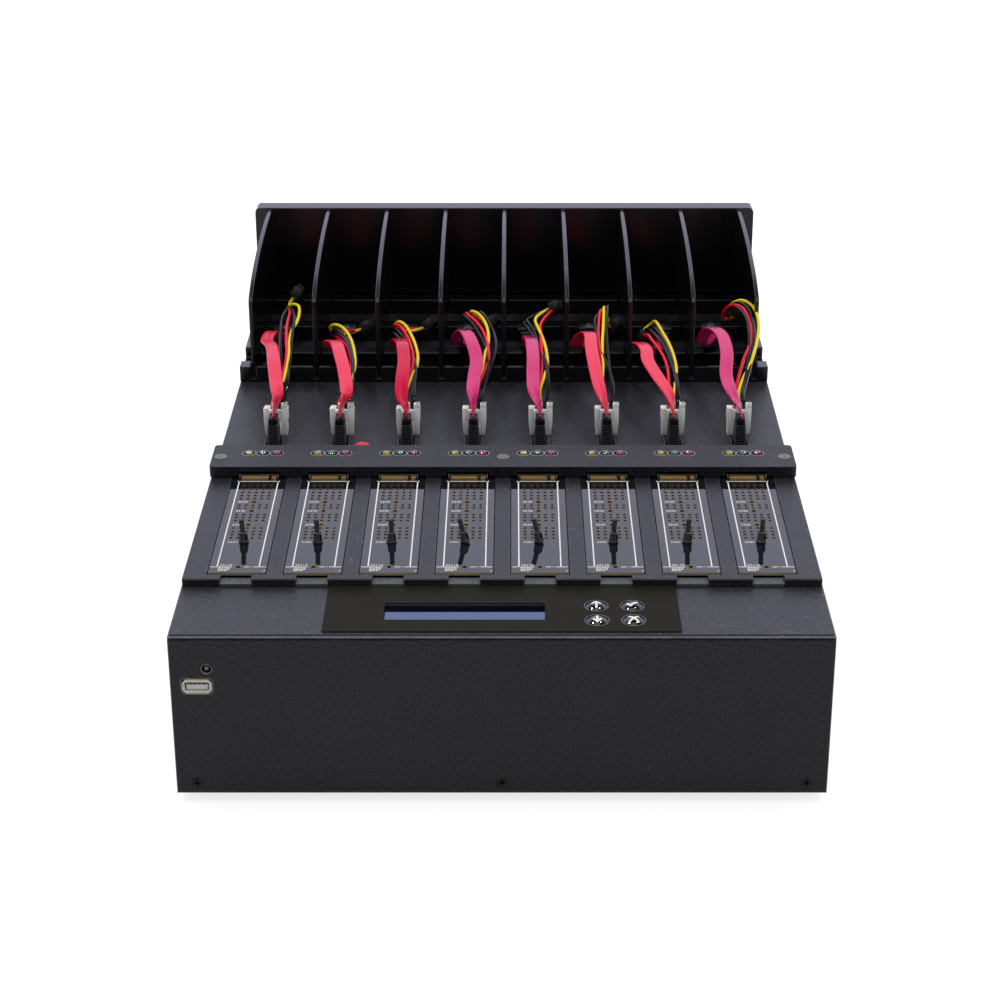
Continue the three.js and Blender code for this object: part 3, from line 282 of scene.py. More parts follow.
def build_grain() -> bpy.types.NodeTree:
    """Builds the grain of a coat or a moulding: a fine height, and a broad shift of its tone."""
    levels = {"Scale": 900.0, "Patch Scale": 9.0, "Speckle": 1.5}
    bench, given, result = new_group(SharedEffect.GRAIN, levels, ("Height", "Tone"))
    fine = bench.noise(given["Scale"], detail=2.0)
    pebble = bench.maths("MULTIPLY", bench.cells(given["Scale"]), PEBBLE_SHARE)
    bench.join(bench.maths("ADD", fine, pebble), result["Height"])
    broad = bench.maths("MULTIPLY", bench.noise(given["Patch Scale"], detail=4.0), PATCH_SHARE)
    speckle = bench.maths("MULTIPLY", bench.maths("SUBTRACT", fine, 0.5), given["Speckle"])
    tone = bench.maths("ADD", bench.maths("ADD", broad, PATCH_LEAST), speckle, clamp=True)
    bench.join(tone, result["Tone"])
    return bench.tree


def build_wear_and_highlight() -> bpy.types.NodeTree:
    """Builds the wear of outer edges, which is also painted highlight along them: 1 where a coat is thin on a
    corner, 0 on the flats.
    """
    bench, given, result = new_group(SharedEffect.WEAR_AND_HIGHLIGHT, {"Radius": 0.0006, "Amount": 1.0}, ("Mask",))
    soft = bench.add("ShaderNodeBevel", samples=4)
    bench.join(given["Radius"], soft.inputs["Radius"])
    match = bench.add("ShaderNodeVectorMath", operation="DOT_PRODUCT")
    bench.join(soft.outputs["Normal"], match.inputs[0])
    bench.join(bench.add("ShaderNodeNewGeometry").outputs["Normal"], match.inputs[1])
    turned = bench.maths("SUBTRACT", 1.0, match.outputs["Value"])
    corner = bench.maths("MULTIPLY", turned, CORNER_GAIN, clamp=True)
    patchy = bench.ramp(bench.noise(WEAR_AND_HIGHLIGHT_SCALE), *WEAR_AND_HIGHLIGHT_RAMP)
    bench.join(bench.maths("MULTIPLY", bench.maths("MULTIPLY", corner, patchy), given["Amount"]),
               result["Mask"])
    return bench.tree


def build_dust() -> bpy.types.NodeTree:
    """Builds the specks of dust that settle on faces that look up."""
    bench, given, result = new_group(SharedEffect.DUST, {"Scale": 240.0, "Amount": 0.5}, ("Mask",))
    near = bench.maths("SUBTRACT", SPECK_REACH, bench.cells(given["Scale"]))
    dot = bench.maths("MULTIPLY", near, SPECK_GAIN, clamp=True)
    few = bench.maths("GREATER_THAN", bench.noise(DUST_PATCHES), DUST_PATCH_FROM)
    up = bench.axis(bench.add("ShaderNodeNewGeometry").outputs["Normal"], "Z")
    facing = bench.maths("MULTIPLY", up, 1.0, clamp=True)
    shown = bench.maths("MULTIPLY", bench.maths("MULTIPLY", dot, few), facing)
    bench.join(bench.maths("MULTIPLY", shown, given["Amount"]), result["Mask"])
    return bench.tree


def build_scuff() -> bpy.types.NodeTree:
    """Builds fine handling marks that change only how a surface shines."""
    bench, given, result = new_group(SharedEffect.SCUFF, {"Scale": 40.0, "Amount": 0.1}, ("Roughness Shift",))
    long_way = bench.noise(given["Scale"], detail=6.0, stretch=(0.25, 3.0, 1.0))
    both = bench.maths("SUBTRACT", bench.maths("ADD", long_way, bench.noise(given["Scale"])), 1.0)
    bench.join(bench.maths("MULTIPLY", both, given["Amount"]), result["Roughness Shift"])
    return bench.tree


_BUILDERS = {
    SharedEffect.GRAIN: build_grain,
    SharedEffect.WEAR_AND_HIGHLIGHT: build_wear_and_highlight,
    SharedEffect.DUST: build_dust,
    SharedEffect.SCUFF: build_scuff,
}


@dataclass(frozen=True)
class Finish:
    """How one surface of the machine looks. Colours are levels from 0 to 255, lengths metres."""

    name: str
    colour: Point
    mottle: Point
    roughness: float = 0.5
    scuffs: float = 0.08
    metallic: float = 0.0
    shine: float = 0.5
    coat: float = 0.0
    coat_bend: float = 1.5
    grain_scale: float = 900.0
    patch_scale: float = 9.0
    grain_height: float = 0.0
    speckle: float = 1.5
    softness: float = 0.0
    # edge, edge_radius and edge_amount paint a pale colour on rounded edges: wear, and painted highlight as
    # well.
    edge: Optional[Point] = None
    edge_radius: float = 0.0005
    edge_amount: float = 0.7
    dust: float = 0.0
    painted_glow: Optional[Point] = None

    def material(self) -> bpy.types.Material:
        """Gives the finish's material, built once."""
        found = bpy.data.materials.get(self.name)
        return found if found is not None else self._build()

    def _build(self) -> bpy.types.Material:
        """Builds the material's nodes, with what is the same all over set on the surface itself."""
        made = bpy.data.materials.new(self.name)
        made.use_nodes = True
        bench = NodeBench(made.node_tree)
        surface = bench.add("ShaderNodeBsdfPrincipled")
        bench.join(surface.outputs[0], bench.add("ShaderNodeOutputMaterial").inputs["Surface"])
        steady = {"Metallic": self.metallic, "Specular IOR Level": self.shine, "Coat Weight": self.coat,
                  "Coat Roughness": COAT_ROUGHNESS, "Coat IOR": self.coat_bend}
        if self.painted_glow is not None:
            steady.update({"Emission Color": shade(self.painted_glow), "Emission Strength": 1.0})
        for name, value in steady.items():
            surface.inputs[name].default_value = value
        grain = self._effect(bench, SharedEffect.GRAIN, {
            "Scale": self.grain_scale, "Patch Scale": self.patch_scale, "Speckle": self.speckle})
        colour = bench.blend(grain["Tone"], shade(self.colour), shade(self.mottle))
        bench.join(self._aged_and_highlit(bench, colour), surface.inputs["Base Color"])
        scuff = self._effect(bench, SharedEffect.SCUFF, {"Amount": self.scuffs})
        rough = bench.maths("ADD", scuff["Roughness Shift"], self.roughness, clamp=True)
        bench.join(rough, surface.inputs["Roughness"])
        if self.grain_height > 0:
            self._relief(bench, grain["Height"], surface.inputs["Normal"])
        return made

    def _relief(self, bench: NodeBench, height: bpy.types.NodeSocket, target: bpy.types.NodeSocket) -> None:
        """Raises the grain on a surface, over rounded edges where the finish is soft.

        Args:
            bench: The material's bench.
            height: The grain's height.
            target: The surface's normal.
        """
        bump = bench.add("ShaderNodeBump")
        bump.inputs["Strength"].default_value = 1.0
        bump.inputs["Distance"].default_value = self.grain_height
        bench.join(height, bump.inputs["Height"])
        bench.join(bump.outputs[0], target)
        if self.softness > 0:
            rounding = bench.add("ShaderNodeBevel", samples=6)
            rounding.inputs["Radius"].default_value = self.softness
            bench.join(rounding.outputs[0], bump.inputs["Normal"])

    def _effect(self, bench: NodeBench, effect: SharedEffect, values: dict[str, float]) -> dict:
        """Places a shared effect with this finish's own values.

        Args:
            bench: The material's bench.
            effect: The effect to place.
            values: The values of its inputs by name.

        Returns:
            Its outputs by name.
        """
        node = bench.add("ShaderNodeGroup", node_tree=effect.group())
        for name, value in values.items():
            node.inputs[name].default_value = value
        return {socket.name: socket for socket in node.outputs}

    def _aged_and_highlit(self, bench: NodeBench, colour: bpy.types.NodeSocket) -> bpy.types.NodeSocket:
        """Adds worn edges, which also carry painted highlights, and dust to a colour.

        Args:
            bench: The material's bench.
            colour: The clean colour.

        Returns:
            The colour with its wear, painted highlights and dust.
        """
        if self.edge is not None:
            values = {"Radius": self.edge_radius, "Amount": self.edge_amount}
            colour = bench.blend(self._effect(bench, SharedEffect.WEAR_AND_HIGHLIGHT, values)["Mask"], colour,
                                 shade(self.edge))
        if self.dust > 0:
            dust = self._effect(bench, SharedEffect.DUST, {"Amount": self.dust})
            colour = bench.blend(dust["Mask"], colour, shade(DUST_GREY))
        return colour


# The pale edge colours of the coats below are worn edges and painted highlight along the rounded edges
# together.
DECK_COAT = Finish("deck_powder_coat", (47, 46, 51), (27, 26, 30), 0.4, 0.05, shine=0.52,
                   grain_height=0.00018, speckle=7.0, edge=(186, 184, 190), edge_radius=0.0010,
                   edge_amount=1.0, dust=0.35)
LINER_COAT = replace(DECK_COAT, name="deck_liner_coat", edge=None)
# A lighter copy of the deck's powder coat for the front panel and base pan, lightened to make up for the
# light that their faces get: painted light.
FRONT_COAT = Finish("front_powder_coat", (53, 53, 56), (34, 34, 36), 0.5, 0.05, shine=0.35,
                    grain_height=0.00009, speckle=6.0, edge=(196, 194, 194), edge_radius=0.0010,
                    edge_amount=1.0)
TRAY_COAT = Finish("tray_powder_coat", (43, 41, 47), (24, 23, 28), 0.38, 0.06, shine=0.46,
                   grain_height=0.00016, speckle=5.0, edge=(140, 144, 142), edge_amount=0.9, dust=0.5)
BAR_COAT = Finish("bar_powder_coat", (39, 37, 43), (20, 19, 23), 0.38, 0.06, shine=0.34, grain_height=0.00020,
                  speckle=8.0, edge=(92, 92, 98), edge_amount=0.5, dust=0.3)
OVERLAY_FILM = Finish("overlay_film", (35, 33, 23), (29, 27, 18), 0.46, 0.03, shine=0.05, grain_scale=2200.0,
                      grain_height=0.000006)
# The screen's faint blue glow is painted light.
SCREEN_FILM = Finish("screen_film", (100, 113, 141), (94, 107, 135), 0.04, 0.0, metallic=1.0, painted_glow=(1, 4, 20))
KEY_GLOSS = Finish("key_gloss", (12, 12, 15), (8, 8, 10), 0.04, 0.02, shine=0.6, coat=0.6)
MARK_WHITE = Finish("printed_white", (232, 232, 224), (206, 206, 198), 0.5, 0.05)
# Pale grey for thin rims round the keys and light holes and along the connectors' top edges: painted
# highlight.
RIM_HIGHLIGHT_GREY = Finish("painted_rim_highlight", (176, 176, 180), (120, 120, 126), 0.38, 0.08, metallic=0.4,
                  patch_scale=300.0)
# Worn bare metal on the notch floors; on the strip at each notch's front it is painted highlight.
LEDGE_WEAR_AND_HIGHLIGHT = Finish("worn_notch_floor_and_lip_highlight", (104, 108, 106), (52, 56, 56), 0.5, 0.1, shine=0.4, patch_scale=420.0,
                    grain_height=0.00008)
BOARD_MASK = Finish("board_solder_mask", (22, 23, 27), (16, 18, 21), 0.05, 0.015, shine=0.62, coat=0.25,
                    patch_scale=60.0)
BOARD_EDGE = Finish("board_laminate_edge", (176, 160, 122), (116, 106, 80), 0.55, 0.08, grain_scale=1600.0)
BOARD_GREEN = Finish("inner_board_mask", (20, 62, 40), (15, 48, 32), 0.32, 0.06, shine=0.5, patch_scale=120.0)
GOLD = Finish("gold_plating", (196, 160, 96), (150, 116, 64), 0.3, 0.1, metallic=0.85, patch_scale=400.0)
DIM_GOLD = Finish("dim_gold_rim", (134, 110, 68), (90, 73, 45), 0.4, 0.1, metallic=0.4, patch_scale=500.0)
BRASS = Finish("contact_brass", (186, 152, 98), (140, 110, 66), 0.3, 0.08, metallic=0.15, patch_scale=500.0)
TIN = Finish("tinned_steel", (198, 194, 182), (172, 168, 156), 0.3, 0.1, metallic=0.9, patch_scale=200.0)
PORT_STEEL = Finish("port_shell_steel", (232, 226, 208), (196, 190, 174), 0.3, 0.1, metallic=0.2,
                    patch_scale=300.0)
ZINC = Finish("zinc_screw", (120, 123, 104), (96, 99, 84), 0.4, 0.1, metallic=0.2, patch_scale=300.0)
# A darker copy of the screw's zinc for its cross: painted shade of a recess.
ZINC_SLOT_SHADE = Finish("zinc_screw_slot_painted_shade", (92, 95, 78), (78, 80, 66), 0.5, 0.1, metallic=0.2, patch_scale=300.0)
# Near-black sheets laid in holes, mouths, recesses and seams, where there is only shade: painted shade.
PAINTED_SHADE_DARK = Finish("painted_hole_shade", (9, 9, 10), (6, 6, 7), 0.8, 0.02, shine=0.1)
BLACK_SCREW = Finish("black_screw", (30, 30, 32), (22, 22, 24), 0.34, 0.1, metallic=0.3, edge=(120, 118, 116))
MOULDED_BLACK = Finish("moulded_black", (22, 22, 24), (16, 16, 18), 0.42, 0.08, grain_scale=2600.0,
                       grain_height=0.000006, edge=(120, 124, 122), edge_radius=0.0003, edge_amount=0.5)
PIN_BLACK = Finish("pin_black", (72, 73, 68), (38, 39, 36), 0.4, 0.1, shine=0.45, grain_scale=1500.0,
                   patch_scale=500.0, grain_height=0.00004)
PLUG_BLACK = Finish("plug_black", (14, 14, 16), (9, 9, 11), 0.38, 0.08, shine=0.4, grain_scale=2400.0,
                    grain_height=0.000008)
# A lighter copy of the plug's black for the faces of its ribs: painted highlight.
RIB_HIGHLIGHT_BLACK = Finish("plug_rib_painted_highlight", (50, 50, 54), (36, 36, 40), 0.34, 0.08, shine=0.45, grain_scale=2400.0,
                   grain_height=0.000008)
RACK_BLACK = Finish("rack_black", (12, 12, 15), (8, 8, 11), 0.19, 0.06, shine=0.75, grain_scale=2000.0,
                    grain_height=0.000006, softness=0.0013, edge=(120, 122, 130), edge_radius=0.0003,
                    edge_amount=0.3, dust=0.35)
NYLON = Finish("housing_nylon", (252, 253, 250), (242, 244, 240), 0.36, 0.06, shine=0.45, patch_scale=90.0)
TONGUE_WHITE = Finish("port_tongue_white", (232, 233, 238), (214, 215, 222), 0.34, 0.04)
RIBBON_RED = Finish("ribbon_red", (214, 6, 44), (190, 4, 34), 0.15, 0.04, shine=0.24, patch_scale=60.0)
RIBBON_ROSE = replace(RIBBON_RED, name="ribbon_rose", colour=(204, 8, 60), mottle=(180, 6, 48))
RIBBON_PINK = replace(RIBBON_RED, name="ribbon_magenta", colour=(196, 8, 70), mottle=(170, 6, 56))
WIRE_YELLOW = Finish("wire_yellow", (236, 210, 4), (214, 184, 2), 0.26, 0.05, shine=0.4, patch_scale=120.0)
WIRE_RED = Finish("wire_red", (228, 16, 48), (200, 10, 38), 0.24, 0.05, shine=0.4, patch_scale=120.0)
WIRE_BLACK = Finish("wire_black", (9, 9, 11), (6, 6, 8), 0.13, 0.04, shine=0.5, patch_scale=120.0)
DISC_RED = Finish("red_disc", (226, 30, 46), (200, 22, 38), 0.35, 0.05, patch_scale=200.0)
LIGHT_YELLOW = Finish("light_yellow", (170, 148, 20), (122, 104, 8), 0.06, 0.02, shine=0.9, coat=1.0,
                      coat_bend=2.4, patch_scale=260.0)
LIGHT_GREEN = replace(LIGHT_YELLOW, name="light_green", colour=(34, 104, 58), mottle=(18, 74, 38))
LIGHT_RED = replace(LIGHT_YELLOW, name="light_red", colour=(140, 14, 32), mottle=(100, 8, 20))
STATUS_GREEN = Finish("status_light_green", (104, 164, 130), (70, 118, 90), 0.1, 0.02, coat=0.5,
                      patch_scale=260.0)
RUBBER = Finish("foot_rubber", (20, 20, 20), (13, 13, 13), 0.85, 0.05, shine=0.25, grain_scale=1800.0,
                grain_height=0.00002)
SUPPLY_STEEL = Finish("supply_steel", (150, 152, 152), (128, 130, 131), 0.36, 0.12, metallic=0.85,
                      patch_scale=70.0)
LATCH_STEEL = Finish("latch_steel", (136, 138, 138), (110, 112, 112), 0.26, 0.08, metallic=0.9,
                     patch_scale=300.0)


# Shapes


class Shape:
    """A closed shape on its way into a piece, in the machine's millimetres."""

    def __init__(self) -> None:
        """Starts with nothing."""
        self.bm = bmesh.new()

    @classmethod
    def block(cls, low: Sequence[float], high: Sequence[float]) -> Shape:
        """Makes a block between two corners."""
        made = cls()
        verts = bmesh.ops.create_cube(made.bm, size=1.0)["verts"]
        bmesh.ops.scale(made.bm, vec=Vector(high) - Vector(low), verts=verts)
        bmesh.ops.translate(made.bm, vec=(Vector(high) + Vector(low)) / 2, verts=verts)
        return made

    @classmethod
    def turned(cls, profile: Sequence[Flat], sides: int = 32) -> Shape:
        """Turns a profile about Z.

        Args:
            profile: Radius and height of each point, in order round the section.
            sides: How many sides the round has.

        Returns:
            The turned shape.
        """
        made = cls()
        verts = [made.bm.verts.new((radius, 0.0, height)) for radius, height in profile]
        edges = [made.bm.edges.new(pair) for pair in zip(verts, verts[1:])]
        bmesh.ops.spin(made.bm, geom=verts + edges, cent=(0, 0, 0), axis=(0, 0, 1), angle=math.tau,
                       steps=sides, use_merge=True)
        bmesh.ops.remove_doubles(made.bm, verts=made.bm.verts, dist=0.0002)
        bmesh.ops.dissolve_degenerate(made.bm, dist=0.0001, edges=made.bm.edges)
        return made.outward()

    @classmethod
    def plate(cls, outline: Sequence[Flat], low: float, high: float,
              holes: Iterable[Sequence[Flat]] = ()) -> Shape:
        """Raises an outline in X and Y from one height to another.

        Args:
            outline: The plate's corners.
            low: The height of its underside.
            high: The height of its top.
            holes: The corners of each hole.

        Returns:
            The plate.
        """
        made = cls()
        edges = []
        for loop in (outline, *holes):
            verts = [made.bm.verts.new((x, y, low)) for x, y in loop]
            edges += [made.bm.edges.new(pair) for pair in zip(verts, verts[1:] + verts[:1])]
        filled = bmesh.ops.triangle_fill(made.bm, use_beauty=True, edges=edges)["geom"]
        faces = [item for item in filled if isinstance(item, bmesh.types.BMFace)]
        raised = bmesh.ops.extrude_face_region(made.bm, geom=faces, use_keep_orig=True)["geom"]
        top = [item for item in raised if isinstance(item, bmesh.types.BMVert)]
        bmesh.ops.translate(made.bm, vec=(0.0, 0.0, high - low), verts=top)
        return made.outward()

    @classmethod
    def skinned(cls, rings: Sequence[Sequence[Vector]]) -> Shape:
        """Bridges closed rings of points, one after the other, and caps the ends."""
        made = cls()
        loops = []
        for ring in rings:
            verts = [made.bm.verts.new(point) for point in ring]
            loops.append((verts, [made.bm.edges.new(pair) for pair in zip(verts, verts[1:] + verts[:1])]))
        for (_, first), (_, second) in zip(loops, loops[1:]):
            bmesh.ops.bridge_loops(made.bm, edges=first + second)
        made.bm.faces.new(loops[0][0])
        made.bm.faces.new(loops[-1][0])
        return made.outward()

    @classmethod
    def lettered(cls, words: str, size: float, low: float, high: float) -> Shape:
        """Makes flat figures, centred on the origin.

        Args:
            words: The figures.
            size: Their height as type.
            low: The height of their underside.
            high: The height of their top.

        Returns:
            The figures as a closed shape.
        """
        curve = bpy.data.curves.new("figures", "FONT")
        curve.body = words
        curve.size = size
        curve.align_x = "CENTER"
        curve.align_y = "CENTER"
        curve.extrude = (high - low) / 2
        curve.resolution_u = 2
        holder = bpy.data.objects.new("figures", curve)
        bpy.context.scene.collection.objects.link(holder)
        mesh = bpy.data.meshes.new_from_object(holder)
        made = cls()
        made.bm.from_mesh(mesh)
        bpy.data.objects.remove(holder)
        bpy.data.curves.remove(curve)
        bpy.data.meshes.remove(mesh)
        bmesh.ops.remove_doubles(made.bm, verts=made.bm.verts, dist=0.0005)
        return made.moved(0.0, 0.0, (low + high) / 2)

    def outward(self) -> Shape:
        """Turns every face outwards."""
        bmesh.ops.recalc_face_normals(self.bm, faces=self.bm.faces)
        return self

    def rounded(self, width: float, steps: int = 2, angle: float = 35.0) -> Shape:
        """Rounds every edge that is sharper than an angle.

        Args:
            width: How far the round reaches from the edge.
            steps: How many faces it has across.
            angle: The least angle between faces, in degrees.

        Returns:
            This shape.
        """
        sharp = [edge for edge in self.bm.edges
                 if len(edge.link_faces) == 2 and edge.calc_face_angle(0.0) > math.radians(angle)]
        bmesh.ops.bevel(self.bm, geom=sharp, offset=width, offset_type="OFFSET", segments=steps, profile=0.5,
                        affect="EDGES", material=-1, clamp_overlap=True)
        return self

    def placed(self, matrix: Matrix) -> Shape:
        """Puts the shape through a matrix."""
        bmesh.ops.transform(self.bm, matrix=matrix, verts=self.bm.verts)
        return self

    def moved(self, x: float, y: float, z: float) -> Shape:
        """Moves the shape."""
        return self.placed(Matrix.Translation((x, y, z)))

    def tilted(self, degrees: float, axis: str) -> Shape:
        """Turns the shape about an axis through the origin."""
        return self.placed(Matrix.Rotation(math.radians(degrees), 4, axis))

    def repeated(self, places: Sequence[Point]) -> Shape:
        """Repeats the shape at each place, with the first copy moved and no original left."""
        original = [*self.bm.verts, *self.bm.edges, *self.bm.faces]
        for place in places[1:]:
            copy = bmesh.ops.duplicate(self.bm, geom=original)["geom"]
            verts = [item for item in copy if isinstance(item, bmesh.types.BMVert)]
            bmesh.ops.translate(self.bm, vec=place, verts=verts)
        bmesh.ops.translate(self.bm, vec=places[0],
                            verts=[v for v in original if isinstance(v, bmesh.types.BMVert)])
        return self


class Piece:
    """One named piece, gathered from shapes with their finishes."""

    def __init__(self, name: str) -> None:
        """Starts an empty piece of a name."""
        self.name = name
        self.bm = bmesh.new()
        self.finishes: list[Finish] = []

    def add(self, shape: Shape, finish: Finish) -> Piece:
        """Adds a shape in a finish.

        Args:
            shape: The shape, which is used up.
            finish: Its finish.

        Returns:
            This piece.
        """
        if finish not in self.finishes:
            self.finishes.append(finish)
        index = self.finishes.index(finish)
        for face in shape.bm.faces:
            face.material_index = index
        mesh = bpy.data.meshes.new("shape")
        shape.bm.to_mesh(mesh)
        shape.bm.free()
        self.bm.from_mesh(mesh)
        bpy.data.meshes.remove(mesh)
        return self

    def block(self, finish: Finish, low: Point, high: Point, width: float = 0.0, steps: int = 2,
              place: Optional[Matrix] = None, copies: Sequence[Point] = ()) -> Piece:
        """Adds a block between two corners.

        Args:
            finish: Its finish.
            low: Its lowest corner.
            high: Its highest corner.
            width: How far the round of its edges reaches, if they are rounded.
            steps: How many faces the round has across.
            place: Where it goes, if it was drawn elsewhere.
            copies: Where its copies stand, if it has any.

        Returns:
            This piece.
        """
        shape = Shape.block(low, high)
        if width > 0:
            shape.rounded(width, steps)
        if copies:
            shape.repeated(copies)
        return self.add(shape if place is None else shape.placed(place), finish)

    def make(self, body: str, slot: str, replaces: Sequence[str] = (), smooth: float = 38.0,
             at: Optional[Matrix] = None) -> bpy.types.Object:
        """Makes the piece's object and lets it ride on its body.

        Args:
            body: The CAD body that it moves with.
            slot: The record's material slot; not used.
            replaces: The CAD nodes that it stands for.
            smooth: Edges flatter than this many degrees are shaded smooth.
            at: Where the piece goes in the machine, if it was drawn elsewhere.

        Returns:
            The new object.
        """
        mesh = bpy.data.meshes.new(self.name)
        self.bm.to_mesh(mesh)
        if at is not None:
            mesh.transform(at)
        mesh.transform(TO_ROW)
        for finish in self.finishes:
            mesh.materials.append(finish.material())
        mesh.polygons.foreach_set("use_smooth", [True] * len(mesh.polygons))
        mesh.set_sharp_from_angle(angle=math.radians(smooth))
        made = bpy.data.objects.new(self.name, mesh)
        bpy.context.scene.collection.objects.link(made)
        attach(made, body)
        if replaces:
            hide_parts(*replaces)
        log.info("%s: %d faces on %s", self.name, len(mesh.polygons), body)
        return made


def ring_points(radius: float, sides: int, x: float = 0.0, y: float = 0.0) -> list[Flat]:
    """Gives the points of a circle."""
    return [(x + radius * math.cos(math.tau * k / sides), y + radius * math.sin(math.tau * k / sides))
            for k in range(sides)]


def rectangle(x0: float, x1: float, y0: float, y1: float) -> list[Flat]:
    """Gives a rectangle's corners."""
    return [(x0, y0), (x1, y0), (x1, y1), (x0, y1)]


def cut_corners(x0: float, x1: float, y0: float, y1: float, cut: float) -> list[Flat]:
    """Gives a rectangle with its corners cut off."""
    return [(x0 + cut, y0), (x1 - cut, y0), (x1, y0 + cut), (x1, y1 - cut), (x1 - cut, y1), (x0 + cut, y1),
            (x0, y1 - cut), (x0, y0 + cut)]


def cross_outline(reach: float, half: float) -> list[Flat]:
    """Gives the outline of a cross recess."""
    return [(half, half), (reach, half), (reach, -half), (half, -half), (half, -reach), (-half, -reach),
            (-half, -half), (-reach, -half), (-reach, half), (-half, half), (-half, reach), (half, reach)]


def screw_head(piece: Piece, radius: float, place: Matrix, rise: float = SCREW_RISE) -> None:
    """Adds a flat screw head with a real cross recess, with painted shade on the recess's floor and in a ring
    round the head.

    Args:
        piece: The piece that gets it.
        radius: The head's radius.
        place: Where the head's seat is, with Z out of the surface.
        rise: How far the head stands proud.
    """
    recess = cross_outline(radius * 0.7, radius * 0.19)
    rim = Shape.plate(ring_points(radius, 28), 0.0, rise, [recess]).rounded(rise * 0.35, 2, 50.0)
    piece.add(rim.placed(place), BLACK_SCREW)
    # The dark disc at the recess's floor and the dark ring round the head are painted shade.
    floor = Shape.plate(ring_points(radius * 0.66, 20), 0.0, rise * 0.12)
    piece.add(floor.placed(place), PAINTED_SHADE_DARK)
    groove = Shape.plate(ring_points(radius + 0.28, 28), 0.0, rise * 0.1, [ring_points(radius, 28)])
    piece.add(groove.placed(place), PAINTED_SHADE_DARK)


FACING_FRONT = Matrix.Rotation(math.radians(90.0), 4, "X")
FACING_REAR = Matrix.Rotation(math.radians(-90.0), 4, "X")
FACING_LEFT = Matrix.Rotation(math.radians(-90.0), 4, "Y")
FACING_RIGHT = Matrix.Rotation(math.radians(90.0), 4, "Y")


def looking(turn: Matrix, x: float, y: float, z: float) -> Matrix:
    """Gives the place of something drawn with Z outwards, turned to a side of the case."""
    return Matrix.Translation((x, y, z)) @ turn


# Lead routes, each across from its bay's middle, back from the front face and up from the deck.
# Wires stand in the order of WireColour.

RIBBON_ROUTES: tuple[Route, ...] = (
    ((3, 251, 20), (4, 257, 26.5), (1.5, 275, 30.7), (-1, 293, 34.1), (-3.8, 313, 35.2), (-8.4, 328, 34.0),
     (-7.6, 345, 32.6), (-6.5, 354, 29.5), (-5, 364, 22.5), (-4, 375, 17), (-4, 385, 15.5)),
    ((2.5, 251, 20), (5.3, 257, 26.5), (3.8, 275, 30.7), (-0.3, 298, 34.5), (-4.9, 320, 35.4),
     (-9.4, 332, 31.5), (-10, 340, 25), (-8.6, 351, 19.5), (-7, 364, 17), (-5, 376, 16), (-4, 385, 15.5)),
    ((1.6, 251, 20), (-0.8, 255, 24.4), (-1.3, 270, 30.4), (-1, 292, 34.5), (-3.4, 316, 36.8),
     (-6.8, 332, 32.8), (-8.2, 342, 26.4), (-8, 350, 21), (-6.6, 363, 17.6), (-5, 376, 16), (-4, 385, 15.5)),
    ((2.1, 251, 20), (1.5, 257, 26.5), (2.2, 275, 30.7), (3.3, 293, 34.1), (-0.2, 315, 38.6),
     (-4.8, 333, 38.2), (-8.6, 344, 31), (-9.8, 351, 24), (-8.9, 359, 19), (-7, 370, 16.3), (-4, 385, 15.5)),
    ((1.8, 251, 20), (-1.3, 257, 26.5), (-2, 275, 30.7), (-1.8, 297, 34.9), (-2.9, 322, 36.4),
     (-4.4, 334, 33), (-4.6, 342, 27.6), (-4.4, 351, 21.4), (-4.2, 362, 17.6), (-4, 375, 16),
     (-4, 385, 15.5)),
    ((1.6, 251, 20), (-1.1, 257, 26.5), (-3.7, 277, 32.2), (-5.5, 302, 36.4), (-6.6, 330, 38.1),
     (-11.4, 342, 30.8), (-13.4, 349, 22.5), (-12, 356, 18.5), (-8.5, 366, 16.5), (-5, 377, 15.8),
     (-4, 387, 15.5)),
    ((1.7, 251, 20), (-0.4, 257, 26.5), (-6.3, 275, 30.7), (-11.1, 295, 33.3), (-11.4, 308, 34.9),
     (-13.4, 320, 34.2), (-15.6, 332, 30.3), (-12, 343, 24), (-2.5, 355, 17.8), (2.5, 368, 16),
     (3, 385, 15.5)),
    ((1.8, 251, 20), (-2.3, 257, 26.5), (-4.6, 275, 30.7), (-2.4, 302, 36.4), (-3.9, 327, 38.8),
     (-8.5, 340, 37.4), (-12.5, 350, 28.9), (-13.4, 357, 20.5), (-11, 366, 17), (-7, 376, 16),
     (-4, 388, 15.5)),
)
BUNDLE_ENDS: tuple[Point, ...] = (
    (5.6, 368, 46.9), (8.3, 367, 26.2), (8.5, 369, 26.4), (8.8, 366, 29.8), (8.6, 367, 39.6),
    (8.4, 368, 27.5), (-10.2, 360, 28.1), (7.4, 377, 31),
)
